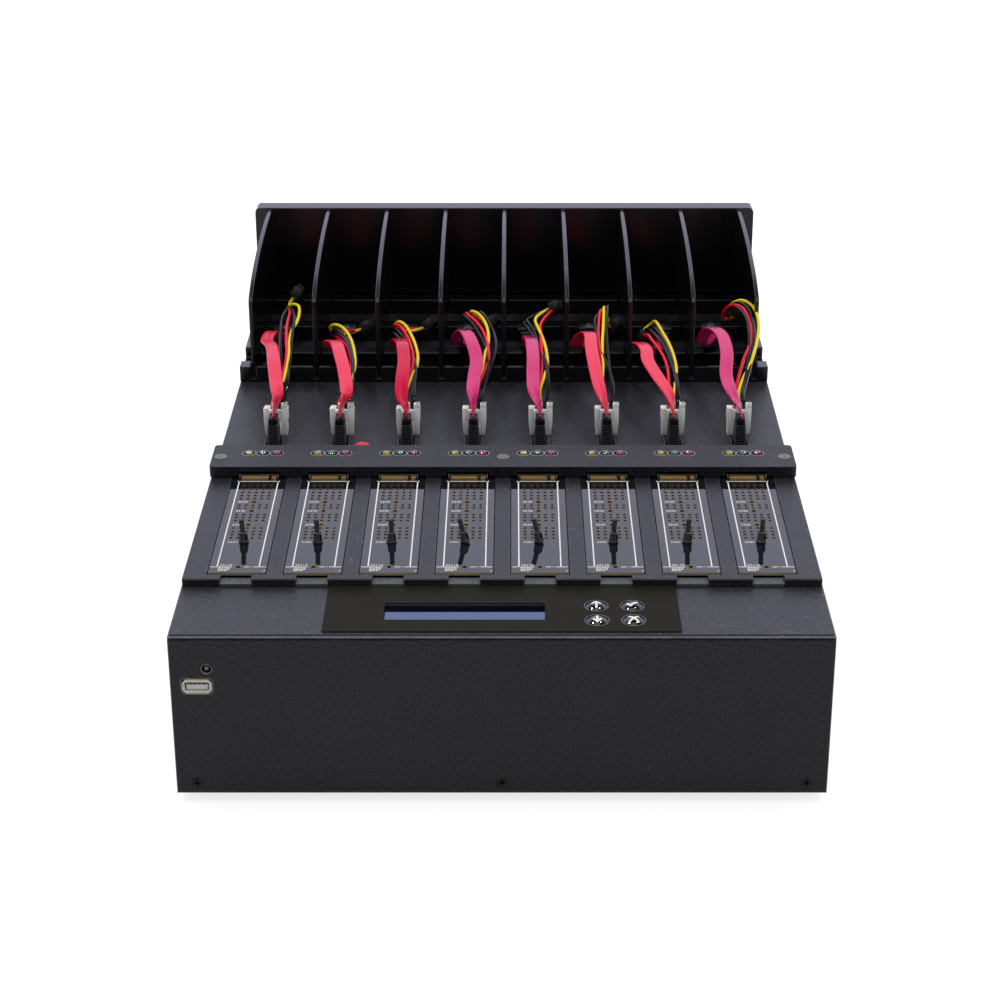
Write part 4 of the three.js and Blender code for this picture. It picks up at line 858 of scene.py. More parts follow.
WIRE_ROUTES: tuple[tuple[Route, ...], ...] = (
    (
        ((6.9, 275, 26.5), (6.6, 289, 30.7), (6.3, 300, 35), (5, 313, 38.7), (4, 328, 41.8), (4.1, 343, 43.4),
         (4.2, 351, 43.8), (3.1, 357, 43.5)),
        ((8, 275, 26.5), (7.7, 289, 30.7), (7.6, 300, 35), (6.8, 315, 38.5), (7.4, 327, 40.9),
         (9.6, 335, 42.8), (10.5, 346, 45.1), (9.6, 353, 47), (6.5, 358, 46.7), (3, 361, 45.2)),
        ((6, 274, 25.9), (4, 290, 30.3), (2.3, 304, 35.7), (0.8, 320, 40.5), (0.2, 333, 43.3),
         (0.4, 345, 43.8), (1.3, 353, 43.7)),
        ((8.6, 275, 26.5), (8.5, 289, 30.7), (8.7, 299, 34.3), (8.3, 313, 38.7), (8.2, 327, 42.2),
         (7.9, 340, 44), (6.4, 350, 45), (4.1, 357, 44.2)),
    ),
    (
        ((6, 272, 22.4), (6.1, 289, 26.4), (5.8, 300, 28.5), (4.2, 313, 31.1), (1.4, 323, 32.8),
         (-2.8, 333, 32.9), (-6.1, 341, 32), (-5.9, 348, 30.9), (-2.7, 355, 29.4)),
        ((8.5, 272, 22.4), (8.4, 289, 26.4), (8.2, 300, 28.5), (7.4, 310, 31.2), (5.2, 323, 33.9),
         (1.5, 335, 36), (-3.2, 344, 37), (-7.8, 350, 35.9), (-10.7, 354, 32.7), (-9.7, 357, 28.7),
         (-3.6, 359, 26.3), (3, 362, 26.6)),
        ((7.7, 272, 22.4), (7.8, 289, 26.4), (7.3, 301, 29.2), (5.6, 314, 31.8), (2.6, 326, 33.8),
         (-1.9, 336, 34.7), (-6.3, 343, 34.7), (-9, 350, 31.5), (-5.6, 357, 26.9)),
        ((7, 272, 22.4), (7, 289, 26.4), (6.3, 303, 29.6), (4.2, 316, 32.2), (0.7, 327, 34), (-4, 336, 34.2),
         (-7.8, 343, 33), (-9.9, 350, 29.9), (-5.6, 357, 26)),
    ),
    (
        ((3.2, 273, 22), (3.4, 285, 25.8), (4, 300, 29.6), (3.1, 313, 32.2), (0.9, 325, 34.2),
         (-2.5, 335, 36.5), (-6.4, 344, 37.5), (-9.6, 350, 35.7), (-7.9, 357, 30.9)),
        ((4, 265, 19.9), (3.9, 279, 23.9), (5, 289, 26.4), (6.4, 298, 28.2), (6.8, 306, 30.6),
         (5.1, 319, 33.2), (1.7, 332, 36), (-2.2, 343, 37.9), (-6.2, 350, 37.9), (-8.8, 355, 34.5),
         (-6.3, 359, 30.1), (-0.2, 362, 27.2)),
        ((5.8, 265, 19.9), (5.8, 279, 23.9), (6.1, 292, 27.3), (5.1, 303, 29.6), (2.7, 314, 31.8),
         (-0.8, 325, 33.7), (-4.6, 333, 35.6), (-8.8, 342, 35.8), (-9.8, 349, 32.7), (-6.2, 356, 28.1)),
        ((5, 265, 19.9), (5, 279, 23.9), (5, 291, 26.7), (3.7, 302, 28.9), (0.7, 313, 31.1),
         (-3.3, 324, 33.3), (-7.2, 332, 35.1), (-10.3, 340, 34.5), (-10.2, 348, 30.9), (-6.3, 356, 26.6)),
    ),
    (
        ((6.1, 275, 23.3), (8.4, 287, 27.2), (10.6, 300, 31.3), (10.7, 306, 33.8), (9.4, 319, 36.5),
         (6.4, 331, 39.6), (1.7, 341, 42), (-3, 349, 42.9), (-3.7, 355, 41.8), (-1.2, 359.5, 39),
         (3.6, 361, 35.5)),
        ((6.7, 277, 23.6), (7.3, 293, 29.1), (8.3, 305, 33.1), (10.3, 318, 35.8), (10, 329, 39.3),
         (7.4, 341, 42), (3.1, 350, 43.6), (-0.8, 356, 42.6), (0, 360, 39.6), (4.2, 363, 35)),
        ((4.5, 273, 22), (7.7, 280, 24.5), (10.2, 293, 29.1), (10.1, 302, 32.1), (8.3, 314, 35.1),
         (4.9, 326, 38.2), (0.2, 338, 40.8), (-4, 346, 42.2), (-6.4, 352, 41.6), (-3.8, 358, 40.1),
         (0.6, 363, 36.4)),
        ((6.6, 265, 19.9), (8.3, 278, 23.2), (11.2, 291, 27.7), (13.8, 302, 32.1), (15.3, 313, 35.5),
         (14.1, 326, 38.2), (11, 338, 41.4), (7, 349, 43.3), (4.4, 356, 42.6), (4.2, 362.5, 39.4)),
    ),
    (
        ((3.6, 270, 21), (4.1, 284, 26.2), (3.7, 299, 30), (3.5, 313, 34.4), (3.1, 327, 37.8), (3.3, 339, 40),
         (5.4, 347, 40.8), (8.9, 355, 41.8), (11.7, 361, 43)),
        ((4.6, 273, 22), (5.9, 284, 26.2), (6.9, 298, 29.3), (6.3, 312, 33.7), (4.6, 322, 36.4),
         (2.1, 332, 39.3), (0, 342, 40.8), (0.5, 348, 41.3), (3.7, 354, 42), (6.9, 360, 43.3)),
        ((7.4, 273, 22), (7.5, 284, 26.2), (6.5, 297, 29.7), (4.4, 307, 32.4), (1.4, 318, 34.7),
         (-2, 329, 36.9), (-5.4, 338, 38.4), (-7.2, 345, 38), (-4.9, 352, 37.8), (1.5, 359, 38.8)),
        ((6.7, 273, 22), (6.6, 284, 26.2), (5.5, 297, 29.7), (3.3, 307, 32.4), (1.5, 319, 35.2),
         (-0.5, 330, 37.6), (-3.4, 339, 39.7), (-5.2, 347, 39.9), (-2.4, 354, 39.3), (3.1, 360, 40.2)),
    ),
    (
        ((2.7, 272, 22.4), (1.6, 284, 26.2), (0.4, 299, 30), (-0.6, 312, 34.8), (-0.7, 326, 38.2),
         (0, 340, 41.8), (1.2, 352, 44), (2.8, 358.5, 42.4), (4.8, 361.6, 37.5)),
        ((2.1, 272, 22.4), (1.8, 284, 26.2), (1.3, 297, 29.7), (1.2, 307, 32.9), (1.5, 318, 36.9),
         (2.5, 333, 41.1), (3.2, 346, 44), (3.6, 355, 45.4), (5, 361.6, 42.6), (6.2, 365, 36.8)),
        ((6.2, 265, 19.9), (7.1, 275, 23.3), (5.8, 287, 26.6), (3.6, 297, 29.7), (1.1, 307, 32.9),
         (-0.6, 318, 35.8), (-2.1, 329, 38.7), (-2.7, 339, 41.1), (-1.6, 347, 42.1), (1.1, 354.5, 41.4),
         (3.8, 361, 38.4), (5.8, 366, 33.4)),
        ((6, 276, 22.9), (5.2, 291, 27.7), (4.7, 305, 32), (4.4, 319, 36.5), (4.6, 333, 41.1),
         (5.7, 348, 44.4), (6.3, 358, 45.4), (7.2, 365, 41.8), (7.9, 369.6, 35.4)),
    ),
    (
        ((3.1, 271, 21.7), (2.5, 280, 24.5), (1.4, 292, 27.3), (-0.3, 304, 30.3), (-3.1, 315, 32.6),
         (-6.5, 325, 34.2), (-9.2, 334, 35), (-10.7, 342, 31.8), (-10, 350, 29.3)),
        ((6.4, 276, 22.9), (6.6, 286, 25.4), (6.3, 295, 28.3), (5.2, 309, 31.6), (3, 321, 34.6),
         (0.1, 334, 36.5), (-2.4, 345, 38), (-4, 352, 37.4), (-6.6, 357, 33.3)),
        ((5, 273, 22), (5.1, 282, 24.8), (4.3, 294, 27.6), (2.4, 306, 30.6), (0, 318, 33.4),
         (-3.5, 328, 35.3), (-6.9, 338, 35.7), (-8.7, 346, 34.3), (-9.5, 353, 31.5)),
        ((6, 273, 22), (6.3, 282, 24.8), (5.4, 294, 27.6), (3.6, 307, 31.3), (1.7, 320, 33.7),
         (-1.2, 331, 35.6), (-4.1, 341, 36.1), (-6, 349, 34.7), (-8, 356, 31.3)),
    ),
    (
        ((3.4, 273, 22), (4.8, 284, 26.2), (7.9, 300, 31.8), (11.8, 311, 35.2), (14.7, 324, 39),
         (14.8, 337, 42.3), (12, 352, 45.7), (7.6, 361, 45), (3.5, 367, 41.5), (1.3, 371, 36),
         (1.9, 375, 30.5)),
        ((5.4, 271, 21.7), (7.9, 285, 25.8), (12.1, 297, 30.8), (15.1, 307, 34.5), (17.8, 318, 37.9),
         (19.8, 331, 41.8), (19.8, 344, 44.7), (17.2, 355, 47.1), (12.9, 361, 47.9), (8.9, 366, 45.8),
         (5.2, 370, 40.9), (4.2, 374, 34.9), (5.9, 377, 30.5)),
        ((4.2, 265, 19.9), (6.4, 279, 23.9), (9.5, 293, 29.1), (11.8, 308, 34.1), (13, 323, 39.3),
         (13.3, 336, 42.2), (11.4, 348, 44.4), (8.1, 357, 44.6), (4.7, 364, 41.2), (3.6, 371, 35.8)),
        ((4.9, 265, 19.9), (7.4, 279, 23.9), (11.2, 293, 29.1), (14.2, 308, 34.1), (16.2, 323, 39.3),
         (16.5, 338, 43.4), (14.6, 351, 46.4), (10.4, 360, 46.9), (5.7, 367, 42.8), (3.8, 373, 36.6)),
    ),
)


# Studio


@dataclass(frozen=True)
class Lamp:
    """One square lamp. Its lengths are metres and its power is watts."""

    name: str
    place: Point
    size: float
    power: float
    aim: Point = (0.0, -0.1, 0.1)

    def hang(self) -> None:
        """Hangs the lamp in the scene."""
        data = bpy.data.lights.new(self.name, "AREA")
        data.size = self.size
        data.energy = self.power
        lamp = bpy.data.objects.new(self.name, data)
        lamp.location = self.place
        lamp.rotation_euler = (Vector(self.aim) - Vector(self.place)).to_track_quat("-Z", "Y").to_euler()
        bpy.context.scene.collection.objects.link(lamp)


@dataclass
class Studio:
    """The floor, the light and the camera. Lengths are metres."""

    eye: Point = (0.005, -1.2639, 0.6352)
    pitch: float = 65.43
    lens: float = 83.15
    sensor: float = 36.0
    shift: float = -0.0118
    sky: Point = (0.95, 0.96, 1.0)
    shine: Point = (0.78, 0.80, 1.0)
    reach: float = 100.0
    front_level: float = 0.38
    back_ramp: Flat = (1.3, 0.5)
    sheen_back_ramp: Flat = (2.2, -0.3)
    sheen_up_ramp: Flat = (-4.0, 3.68)
    top_level: float = 0.8
    sheen_level: float = 1.12
    least_sheen: float = 0.06
    floor_reach: float = 30.0
    floor_grey: float = 0.42
    floor_lift: float = 0.78
    floor_back: float = 0.2
    lamps: tuple[Lamp, ...] = (
        Lamp("key", (0.0, -0.75, 1.5), 1.2, 4.5, (0.0, 0.0, 0.1)),
        Lamp("left_spark", (-0.8, 0.0, 1.9), 0.12, 9.0),
        Lamp("right_spark", (0.8, 0.0, 1.9), 0.12, 9.0),
    )

    def set_camera(self) -> None:
        """Places the camera at the photograph's viewing angle."""
        data = bpy.data.cameras.new("camera")
        data.lens = self.lens
        data.sensor_width = self.sensor
        data.shift_x = self.shift
        data.clip_end = self.reach
        camera = bpy.data.objects.new("camera", data)
        camera.location = self.eye
        camera.rotation_euler = (math.radians(self.pitch), 0.0, 0.0)
        bpy.context.scene.collection.objects.link(camera)
        bpy.context.scene.camera = camera
        bpy.context.scene.view_settings.view_transform = "Standard"

    def set_world(self) -> None:
        """Makes the studio's white surround, softer from the front than from behind and above."""
        world = bpy.data.worlds.new("studio")
        world.use_nodes = True
        bpy.context.scene.world = world
        bench = NodeBench(world.node_tree)
        glossy = bench.add("ShaderNodeLightPath").outputs["Is Glossy Ray"]
        around = bench.add("ShaderNodeTexCoord").outputs["Generated"]
        back, up = bench.axis(around, "Y"), bench.axis(around, "Z")
        spread = bench.maths("MULTIPLY", bench.ramp(back, *self.back_ramp), 1.0 - self.front_level)
        above = bench.maths("MULTIPLY", bench.maths("MULTIPLY", up, 1.0, clamp=True), self.top_level)
        level = bench.maths("MAXIMUM", bench.maths("ADD", spread, self.front_level), above)
        sheen = bench.maths("MULTIPLY", bench.ramp(back, *self.sheen_back_ramp),
                            bench.ramp(up, *self.sheen_up_ramp))
        sheen = bench.maths("MAXIMUM", bench.maths("MULTIPLY", sheen, self.sheen_level), self.least_sheen)
        soft = bench.add("ShaderNodeBackground")
        bench.join(bench.blend(glossy, (*self.sky, 1.0), (*self.shine, 1.0)), soft.inputs["Color"])
        kept = bench.maths("MULTIPLY", level, bench.maths("SUBTRACT", 1.0, glossy))
        bench.join(bench.maths("ADD", kept, bench.maths("MULTIPLY", sheen, glossy)), soft.inputs["Strength"])
        plain = bench.add("ShaderNodeBackground")
        plain.inputs["Color"].default_value = (1.0, 1.0, 1.0, 1.0)
        plain.inputs["Strength"].default_value = 1.0
        mix = bench.add("ShaderNodeMixShader")
        for target, source in zip(mix.inputs, (bench.seen_straight(), soft.outputs[0], plain.outputs[0])):
            bench.join(source, target)
        bench.join(mix.outputs[0], bench.add("ShaderNodeOutputWorld").inputs["Surface"])

    def set_lamps(self) -> None:
        """Hangs a broad soft lamp above the front and two small ones for the highlights."""
        for lamp in self.lamps:
            lamp.hang()

    def set_floor(self) -> None:
        """Lays a white floor that keeps the machine's shadow."""
        mesh = bpy.data.meshes.new("floor")
        bm = bmesh.new()
        bmesh.ops.create_grid(bm, x_segments=2, y_segments=2, size=self.floor_reach)
        bm.to_mesh(mesh)
        bm.free()
        floor = bpy.data.objects.new("floor", mesh)
        bpy.context.scene.collection.objects.link(floor)
        made = bpy.data.materials.new("studio_floor")
        made.use_nodes = True
        bench = NodeBench(made.node_tree)
        matte = bench.add("ShaderNodeBsdfDiffuse")
        matte.inputs["Color"].default_value = (self.floor_grey, self.floor_grey, self.floor_grey, 1.0)
        white, dark = bench.add("ShaderNodeEmission"), bench.add("ShaderNodeEmission")
        white.inputs["Strength"].default_value = self.floor_lift
        dark.inputs["Strength"].default_value = 0.0
        back = bench.axis(bench.add("ShaderNodeTexCoord").outputs["Object"], "Y")
        behind = bench.maths("GREATER_THAN", back, self.floor_back)
        mirrored = bench.maths("MULTIPLY", bench.add("ShaderNodeLightPath").outputs["Is Glossy Ray"], behind)
        lift = bench.add("ShaderNodeMixShader")
        shown = bench.maths("MAXIMUM", bench.seen_straight(), mirrored)
        for target, source in zip(lift.inputs, (shown, dark.outputs[0], white.outputs[0])):
            bench.join(source, target)
        both = bench.add("ShaderNodeAddShader")
        bench.join(matte.outputs[0], both.inputs[0])
        bench.join(lift.outputs[0], both.inputs[1])
        bench.join(both.outputs[0], bench.add("ShaderNodeOutputMaterial").inputs["Surface"])
        mesh.materials.append(made)


# Leads


def smooth_route(points: Sequence[Sequence[float]], steps: int) -> list[Vector]:
    """Runs a centripetal Catmull-Rom curve through points.

    Args:
        points: The points to pass.
        steps: How many stretches lie between two of them.

    Returns:
        The curve's points.
    """
    given = [Vector(point) for point in points]
    given = [given[0] * 2 - given[1], *given, given[-1] * 2 - given[-2]]
    found = []
    for p0, p1, p2, p3 in zip(given, given[1:], given[2:], given[3:]):
        t1 = math.sqrt((p1 - p0).length)
        t2 = t1 + math.sqrt((p2 - p1).length)
        t3 = t2 + math.sqrt((p3 - p2).length)
        for k in range(steps):
            t = t1 + (t2 - t1) * k / steps
            a1 = p0.lerp(p1, t / t1)
            a2 = p1.lerp(p2, (t - t1) / (t2 - t1))
            a3 = p2.lerp(p3, (t - t2) / (t3 - t2))
            b1 = a1.lerp(a2, t / t2)
            b2 = a2.lerp(a3, (t - t1) / (t3 - t1))
            found.append(b1.lerp(b2, (t - t1) / (t2 - t1)))
    found.append(given[-2])
    return found


def frame_of(origin: Vector, ahead: Vector, broad: Vector) -> Matrix:
    """Gives the place of something drawn with Y ahead and X broad.

    Args:
        origin: Where its origin goes.
        ahead: The way its Y points.
        broad: The way its X points, nearly square to that.

    Returns:
        The place.
    """
    y = ahead.normalized()
    x = (broad - y * broad.dot(y)).normalized()
    made = Matrix((x, y, x.cross(y))).transposed().to_4x4()
    made.translation = origin
    return made


class WireColour(Enum):
    """The four wires of a power lead, in their order across the housing."""

    RED = ("red", WIRE_RED)
    YELLOW = ("yellow", WIRE_YELLOW)
    BLACK_A = ("black_a", WIRE_BLACK)
    BLACK_B = ("black_b", WIRE_BLACK)


@dataclass
class Leads:
    """The data ribbons and power wires that rise from the deck to the drive bays, with their plugs."""

    plug_x: float = 2.0
    plug_y: float = 248.3
    plug_width: float = 7.2
    plug_depth: float = 15.0
    plug_top: float = 15.8
    plug_foot: float = -7.9
    ribs: int = 8
    rib_foot: float = 1.2
    rib_pitch: float = 1.42
    rib_height: float = 0.82
    ribbon_start: float = 15.0
    ribbon_width: float = 8.0
    ribbon_half: tuple[Flat, ...] = (
        (-4.0, 0.12), (-3.8, 0.42), (-3.4, 0.62), (-2.2, 0.68), (-1.0, 0.66), (-0.4, 0.56), (0.4, 0.56),
        (1.0, 0.66), (2.2, 0.68), (3.4, 0.62), (3.8, 0.42), (4.0, 0.12),
    )
    ribbon_steps: int = 7
    untwist: float = 0.42
    housing_x: float = 2.4
    housing_reach: float = 7.1
    housing_front: float = 258.0
    housing_rear: float = 267.5
    housing_top: float = 15.2
    wire_root_y: float = 263.0
    wire_roots: tuple[float, ...] = (0.2, 2.4, 4.8, 6.8)
    wire_stops: tuple[Flat, ...] = ((0.0, 14.4), (0.8, 17.4))
    wire_radius: float = 1.0
    wire_steps: int = 6
    mouth_room: float = 4.0
    mouth_depth: float = 2.0
    far_wire_pitch: float = 3.5
    far_broad: Point = (0.0, 0.9, -0.43)
    far_up: Point = (0.0, 0.43, 0.9)
    far_tilts: tuple[float, ...] = (50, 27, 34, 30, 20, 25, -90, 30)
    far_places: tuple[int, ...] = (1, 0, 2, 3)
    pink_bays: tuple[int, ...] = (4, 5, 8)
    rose_bays: tuple[int, ...] = (3,)
    tuck: float = 3.6
    tuck_end: float = 296.0
    tucked: tuple[WireColour, ...] = (WireColour.RED, WireColour.YELLOW)

    def build(self) -> None:
        """Builds all eight data leads and power leads, and the deck's lining round the housings."""
        for index, bay in enumerate(BAYS):
            self.data_lead(index + 1, bay * BAY_PITCH)
            self.power_lead(index + 1, bay * BAY_PITCH)
        front, rear = self.housing_front, self.housing_rear
        liner = Shape.plate(rectangle(-6.8, 13.2, front - 1.9, rear + 1.9), DECK - 0.7, DECK + 0.04,
                            [rectangle(-4.7, 9.6, front - 0.3, rear + 0.4)])
        Piece("deck_liners").add(liner.repeated(BAY_PLACES), LINER_COAT).make("case", "case_steel")

    def data_lead(self, number: int, x: float) -> None:
        """Builds one data lead.

        Args:
            number: The bay's number from the left.
            x: The bay's middle.
        """
        node = f"data_lead_{number}"
        pink = number in self.pink_bays
        slot = "ribbon_magenta" if pink else "ribbon_red"
        stops = [(x + self.plug_x, self.plug_y, DECK + self.ribbon_start)]
        stops += [(x + a, y, DECK + up) for a, y, up in RIBBON_ROUTES[number - 1]]
        route = smooth_route(stops, self.ribbon_steps)
        plain = RIBBON_ROSE if number in self.rose_bays else RIBBON_RED
        ribbon = Piece(f"data_ribbon_{number}")
        ribbon.add(Shape.skinned(self.ribbon_rings(route)), RIBBON_PINK if pink else plain)
        ribbon_object = ribbon.make("case", slot, (node,), smooth=50.0)
        near = self.near_plug(number, x).make("case", slot, (node,))
        far = self.far_data_plug(number, route).make("case", slot, (node,))

    def ribbon_rings(self, route: Sequence[Vector]) -> list[list[Vector]]:
        """Lays the ribbon's section along its route, turned level over its first stretch.

        Args:
            route: The points that the ribbon follows.

        Returns:
            One closed ring of points for each point of the route.
        """
        section = [*self.ribbon_half, *((across, -rise) for across, rise in reversed(self.ribbon_half))]
        rings = []
        for k, point in enumerate(route):
            ahead = (route[min(k + 1, len(route) - 1)] - route[max(k - 1, 0)]).normalized()
            share = min(k / (len(route) - 1) / self.untwist, 1.0)
            turn = math.radians(90.0) * (1.0 - share * share * (3.0 - 2.0 * share))
            place = frame_of(point, ahead, Vector((math.cos(turn), math.sin(turn), 0.0)))
            rings.append([place @ Vector((across, 0.0, rise)) for across, rise in section])
        return rings

    def near_plug(self, number: int, x: float) -> Piece:
        """Builds the ribbed black plug that stands in the deck.

        Args:
            number: The bay's number.
            x: The bay's middle.

        Returns:
            The plug.
        """
        piece = Piece(f"data_plug_{number}")
        place = Matrix.Translation((x + self.plug_x, self.plug_y, DECK))
        half, deep = self.plug_width / 2, self.plug_depth / 2
        piece.block(PLUG_BLACK, (-half, -deep, self.plug_foot), (half, deep, 0.6), 0.5, place=place)
        sleeves = [(0.4, 0.55, 12.4, 0.55, 0.3, PLUG_BLACK),
                   (12.0, 0.35, self.plug_top, 0.3, 0.5, PLUG_BLACK)]
        # The ribs take the lighter black: painted highlight on their faces.
        for k in range(self.ribs):
            low = self.rib_foot + self.rib_pitch * k
            sleeves.append((low, 0.0, low + self.rib_height, 0.0, 0.22, RIB_HIGHLIGHT_BLACK))
        for low, low_inset, high, high_inset, width, finish in sleeves:
            sleeve = Shape.skinned([self.plug_section(low, low_inset), self.plug_section(high, high_inset)])
            piece.add(sleeve.rounded(width).placed(place), finish)
        return piece

    def plug_section(self, height: float, inset: float) -> list[Vector]:
        """Gives the near plug's section at a height, narrower and further back towards its top.

        Args:
            height: How far it is above the deck.
            inset: How far it lies inside the ribs.

        Returns:
            The section's corners.
        """
        share = height / self.plug_top
        half = self.plug_width / 2 - 0.75 * share - inset
        front = -self.plug_depth / 2 + 2.6 * share + inset
        rear = self.plug_depth / 2 - 1.4 * share - inset
        return [Vector((px, py, height)) for px, py in cut_corners(-half, half, front, rear, 0.7)]

    def far_data_plug(self, number: int, route: Sequence[Vector]) -> Piece:
        """Builds the plug at the drive's end of a ribbon.

        Args:
            number: The bay's number.
            route: The points that the ribbon follows.

        Returns:
            The plug.
        """
        piece = Piece(f"data_far_plug_{number}")
        place = frame_of(route[-1], Vector((0.0, 1.0, 0.0)), Vector((1.0, 0.0, 0.0)))
        piece.block(PLUG_BLACK, (-7.0, 4.0, -2.7), (7.0, 15.0, 2.7), 0.6, place=place)
        piece.block(PLUG_BLACK, (-5.4, -0.8, -1.7), (5.4, 4.6, 1.7), 0.6, place=place)
        lip = Shape.plate(cut_corners(-6.2, 6.2, -2.0, 2.0, 0.4), 0.0, 1.0,
                          [[(-5.2, -0.9), (5.2, -0.9), (5.2, 0.9), (4.0, 0.9), (4.0, 0.2), (-5.2, 0.2)]])
        piece.add(lip.placed(place @ Matrix.Translation((0.0, 15.9, 0.0)) @ FACING_FRONT), PLUG_BLACK)
        # A dark sheet inside the plug's mouth: painted shade.
        piece.block(PAINTED_SHADE_DARK, (-5.6, 15.0, -1.3), (5.6, 15.2, 1.3), place=place)
        piece.block(PLUG_BLACK, (-7.15, 0.0, -2.0), (7.15, 0.6, 2.0), 0.2, place=place,
                    copies=[(0.0, 6.0 + 1.5 * k, 0.0) for k in range(4)])
        clip = Shape.plate([(-2.2, 4.6), (2.2, 4.6), (2.2, 11.0), (1.5, 14.6), (-1.5, 14.6), (-2.2, 11.0)],
                           2.7, 3.05)
        piece.add(clip.rounded(0.1).placed(place), LATCH_STEEL)
        return piece.block(LATCH_STEEL, (-1.5, 5.2, 3.0), (1.5, 6.4, 3.5), 0.2, place=place)

    def power_lead(self, number: int, x: float) -> None:
        """Builds one power lead.

        Args:
            number: The bay's number from the left.
            x: The bay's middle.
        """
        node = f"power_lead_{number}"
        housing = self.power_housing(number, x).make("case", "wire_bundle", (node,))
        tilt = math.radians(self.far_tilts[number - 1])
        across = Vector((1.0, 0.0, 0.0)) * math.cos(tilt) + Vector(self.far_up) * math.sin(tilt)
        a, y, up = BUNDLE_ENDS[number - 1]
        end = Vector((x + a, y, DECK + up))
        far = self.far_power_plug(number, end, across).make("case", "wire_bundle", (node,))
        for index, wire in enumerate(WireColour):
            name, finish = wire.value
            stops = [(x + self.wire_roots[index], self.wire_root_y + back, DECK + up)
                     for back, up in self.wire_stops]
            tuck = self.tuck if wire in self.tucked else 0.0
            for b, d, h in WIRE_ROUTES[number - 1][index]:
                behind = tuck * min(max((self.tuck_end - d) / (self.tuck_end - self.wire_root_y), 0.0), 1.0)
                stops.append((x + b - behind, d, DECK + h))
            mouth = end + Vector(self.far_broad) * ((self.far_places[index] - 1.5) * self.far_wire_pitch)
            stops = [stop for stop in stops if (Vector(stop) - mouth).length > self.mouth_room]
            stops += [tuple(mouth), tuple(mouth + across.normalized() * self.mouth_depth)]
            self.wire(f"power_wire_{number}_{name}", smooth_route(stops, self.wire_steps), finish, node,
                      (housing, far))

    def wire(self, name: str, route: Sequence[Vector], finish: Finish, node: str,
             ends: Sequence[bpy.types.Object]) -> None:
        """Args:
            name: The piece's name.
            route: The points that the wire follows, in machine millimetres.
            finish: The wire's finish.
            node: The CAD node that it helps to stand for.
            ends: The housing and the plug on its ends; not used.
        """
        curve = bpy.data.curves.new(name, "CURVE")
        curve.dimensions = "3D"
        curve.bevel_depth = self.wire_radius * MILLIMETRE
        curve.bevel_resolution = 3
        curve.use_fill_caps = True
        spline = curve.splines.new("POLY")
        path = [in_row(point) for point in route]
        spline.points.add(len(path) - 1)
        for target, point in zip(spline.points, path):
            target.co = (*point, 1.0)
        spline.use_smooth = True
        curve.materials.append(finish.material())
        made = bpy.data.objects.new(name, curve)
        bpy.context.scene.collection.objects.link(made)
        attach(made, "case")
        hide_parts(node)

    def power_housing(self, number: int, x: float) -> Piece:
        """Builds the cream housing of four wires, with its uneven front ears.

        Args:
            number: The bay's number.
            x: The bay's middle.

        Returns:
            The housing.
        """
        piece = Piece(f"power_housing_{number}")
        place = Matrix.Translation((x + self.housing_x, 0.0, DECK))
        left, right = -self.housing_reach, self.housing_reach
        front, rear = self.housing_front, self.housing_rear
        centres = [root - self.housing_x for root in self.wire_roots]
        well = rectangle(centres[0] - 1.3, centres[-1] + 1.3, front + 3.4, rear - 1.5)
        upper = Shape.plate(rectangle(left, right, front + 0.8, rear), 8.0, self.housing_top, [well])
        piece.add(upper.rounded(0.22, 1).placed(place), NYLON)
        piece.block(NYLON, (left + 0.5, front + 0.6, -7.9), (right - 0.5, rear, 8.0), 0.3, place=place)
        wide = right - left
        for low, high, top in ((0.0, 0.2, 16.8), (0.22, 0.34, 15.4), (0.36, 0.58, 19.8), (0.75, 1.0, 19.8)):
            low_in, high_in = (0.5 if low == 0.0 else 0.0), (-0.5 if high == 1.0 else 0.0)
            near, away = left + wide * low, left + wide * high
            ear = Shape.plate([(near + low_in, 0.6), (away + high_in, 0.6), (away, 9.0), (away, top),
                               (near, top), (near, 9.0)], 0.0, 2.4)
            piece.add(ear.rounded(0.24).placed(FACING_FRONT).moved(x + self.housing_x, front + 2.4, DECK),
                      NYLON)
        piece.block(NYLON, (left + wide * 0.8, front - 0.1, 17.2),
                    (right, front + 3.2, self.housing_top + 4.6), 0.3, place=place)
        return piece.block(TIN, (-0.9, front + 4.2, 9.0), (0.9, front + 6.4, 12.6), 0.2, place=place,
                           copies=[(c, 0.0, 0.0) for c in centres])

    def far_power_plug(self, number: int, end: Vector, across: Vector) -> Piece:
        """Builds the black plug at the drive's end of a power lead.

        Args:
            number: The bay's number.
            end: Where the four wires meet it.
            across: The way that it points.

        Returns:
            The plug.
        """
        piece = Piece(f"power_far_plug_{number}")
        place = frame_of(end, across, Vector(self.far_broad))
        piece.block(PLUG_BLACK, (-10.5, 0.0, -3.2), (10.5, 6.6, 3.2), 0.6, place=place)
        lip = Shape.plate(cut_corners(-9.6, 9.6, -2.4, 2.4, 0.5), 0.0, 2.6,
                          [[(-8.8, -1.2), (8.8, -1.2), (8.8, 1.0), (7.4, 1.0), (7.4, 0.2), (-8.8, 0.2)]])
        piece.add(lip.placed(place @ Matrix.Translation((0.0, 9.0, 0.0)) @ FACING_FRONT), PLUG_BLACK)
        # A dark sheet inside the plug's mouth: painted shade.
        piece.block(PAINTED_SHADE_DARK, (-9.2, 6.4, -1.8), (9.2, 6.8, 1.8), place=place)
        piece.block(PLUG_BLACK, (-9.8, 0.8, 2.6), (9.8, 4.6, 3.5), 0.3, place=place)
        return piece.block(PLUG_BLACK, (-0.5, 1.4, 3.2), (0.5, 4.0, 3.7), 0.15, place=place,
                           copies=[((k - 3.5) * 2.4, 0.0, 0.0) for k in range(8)])


# Case


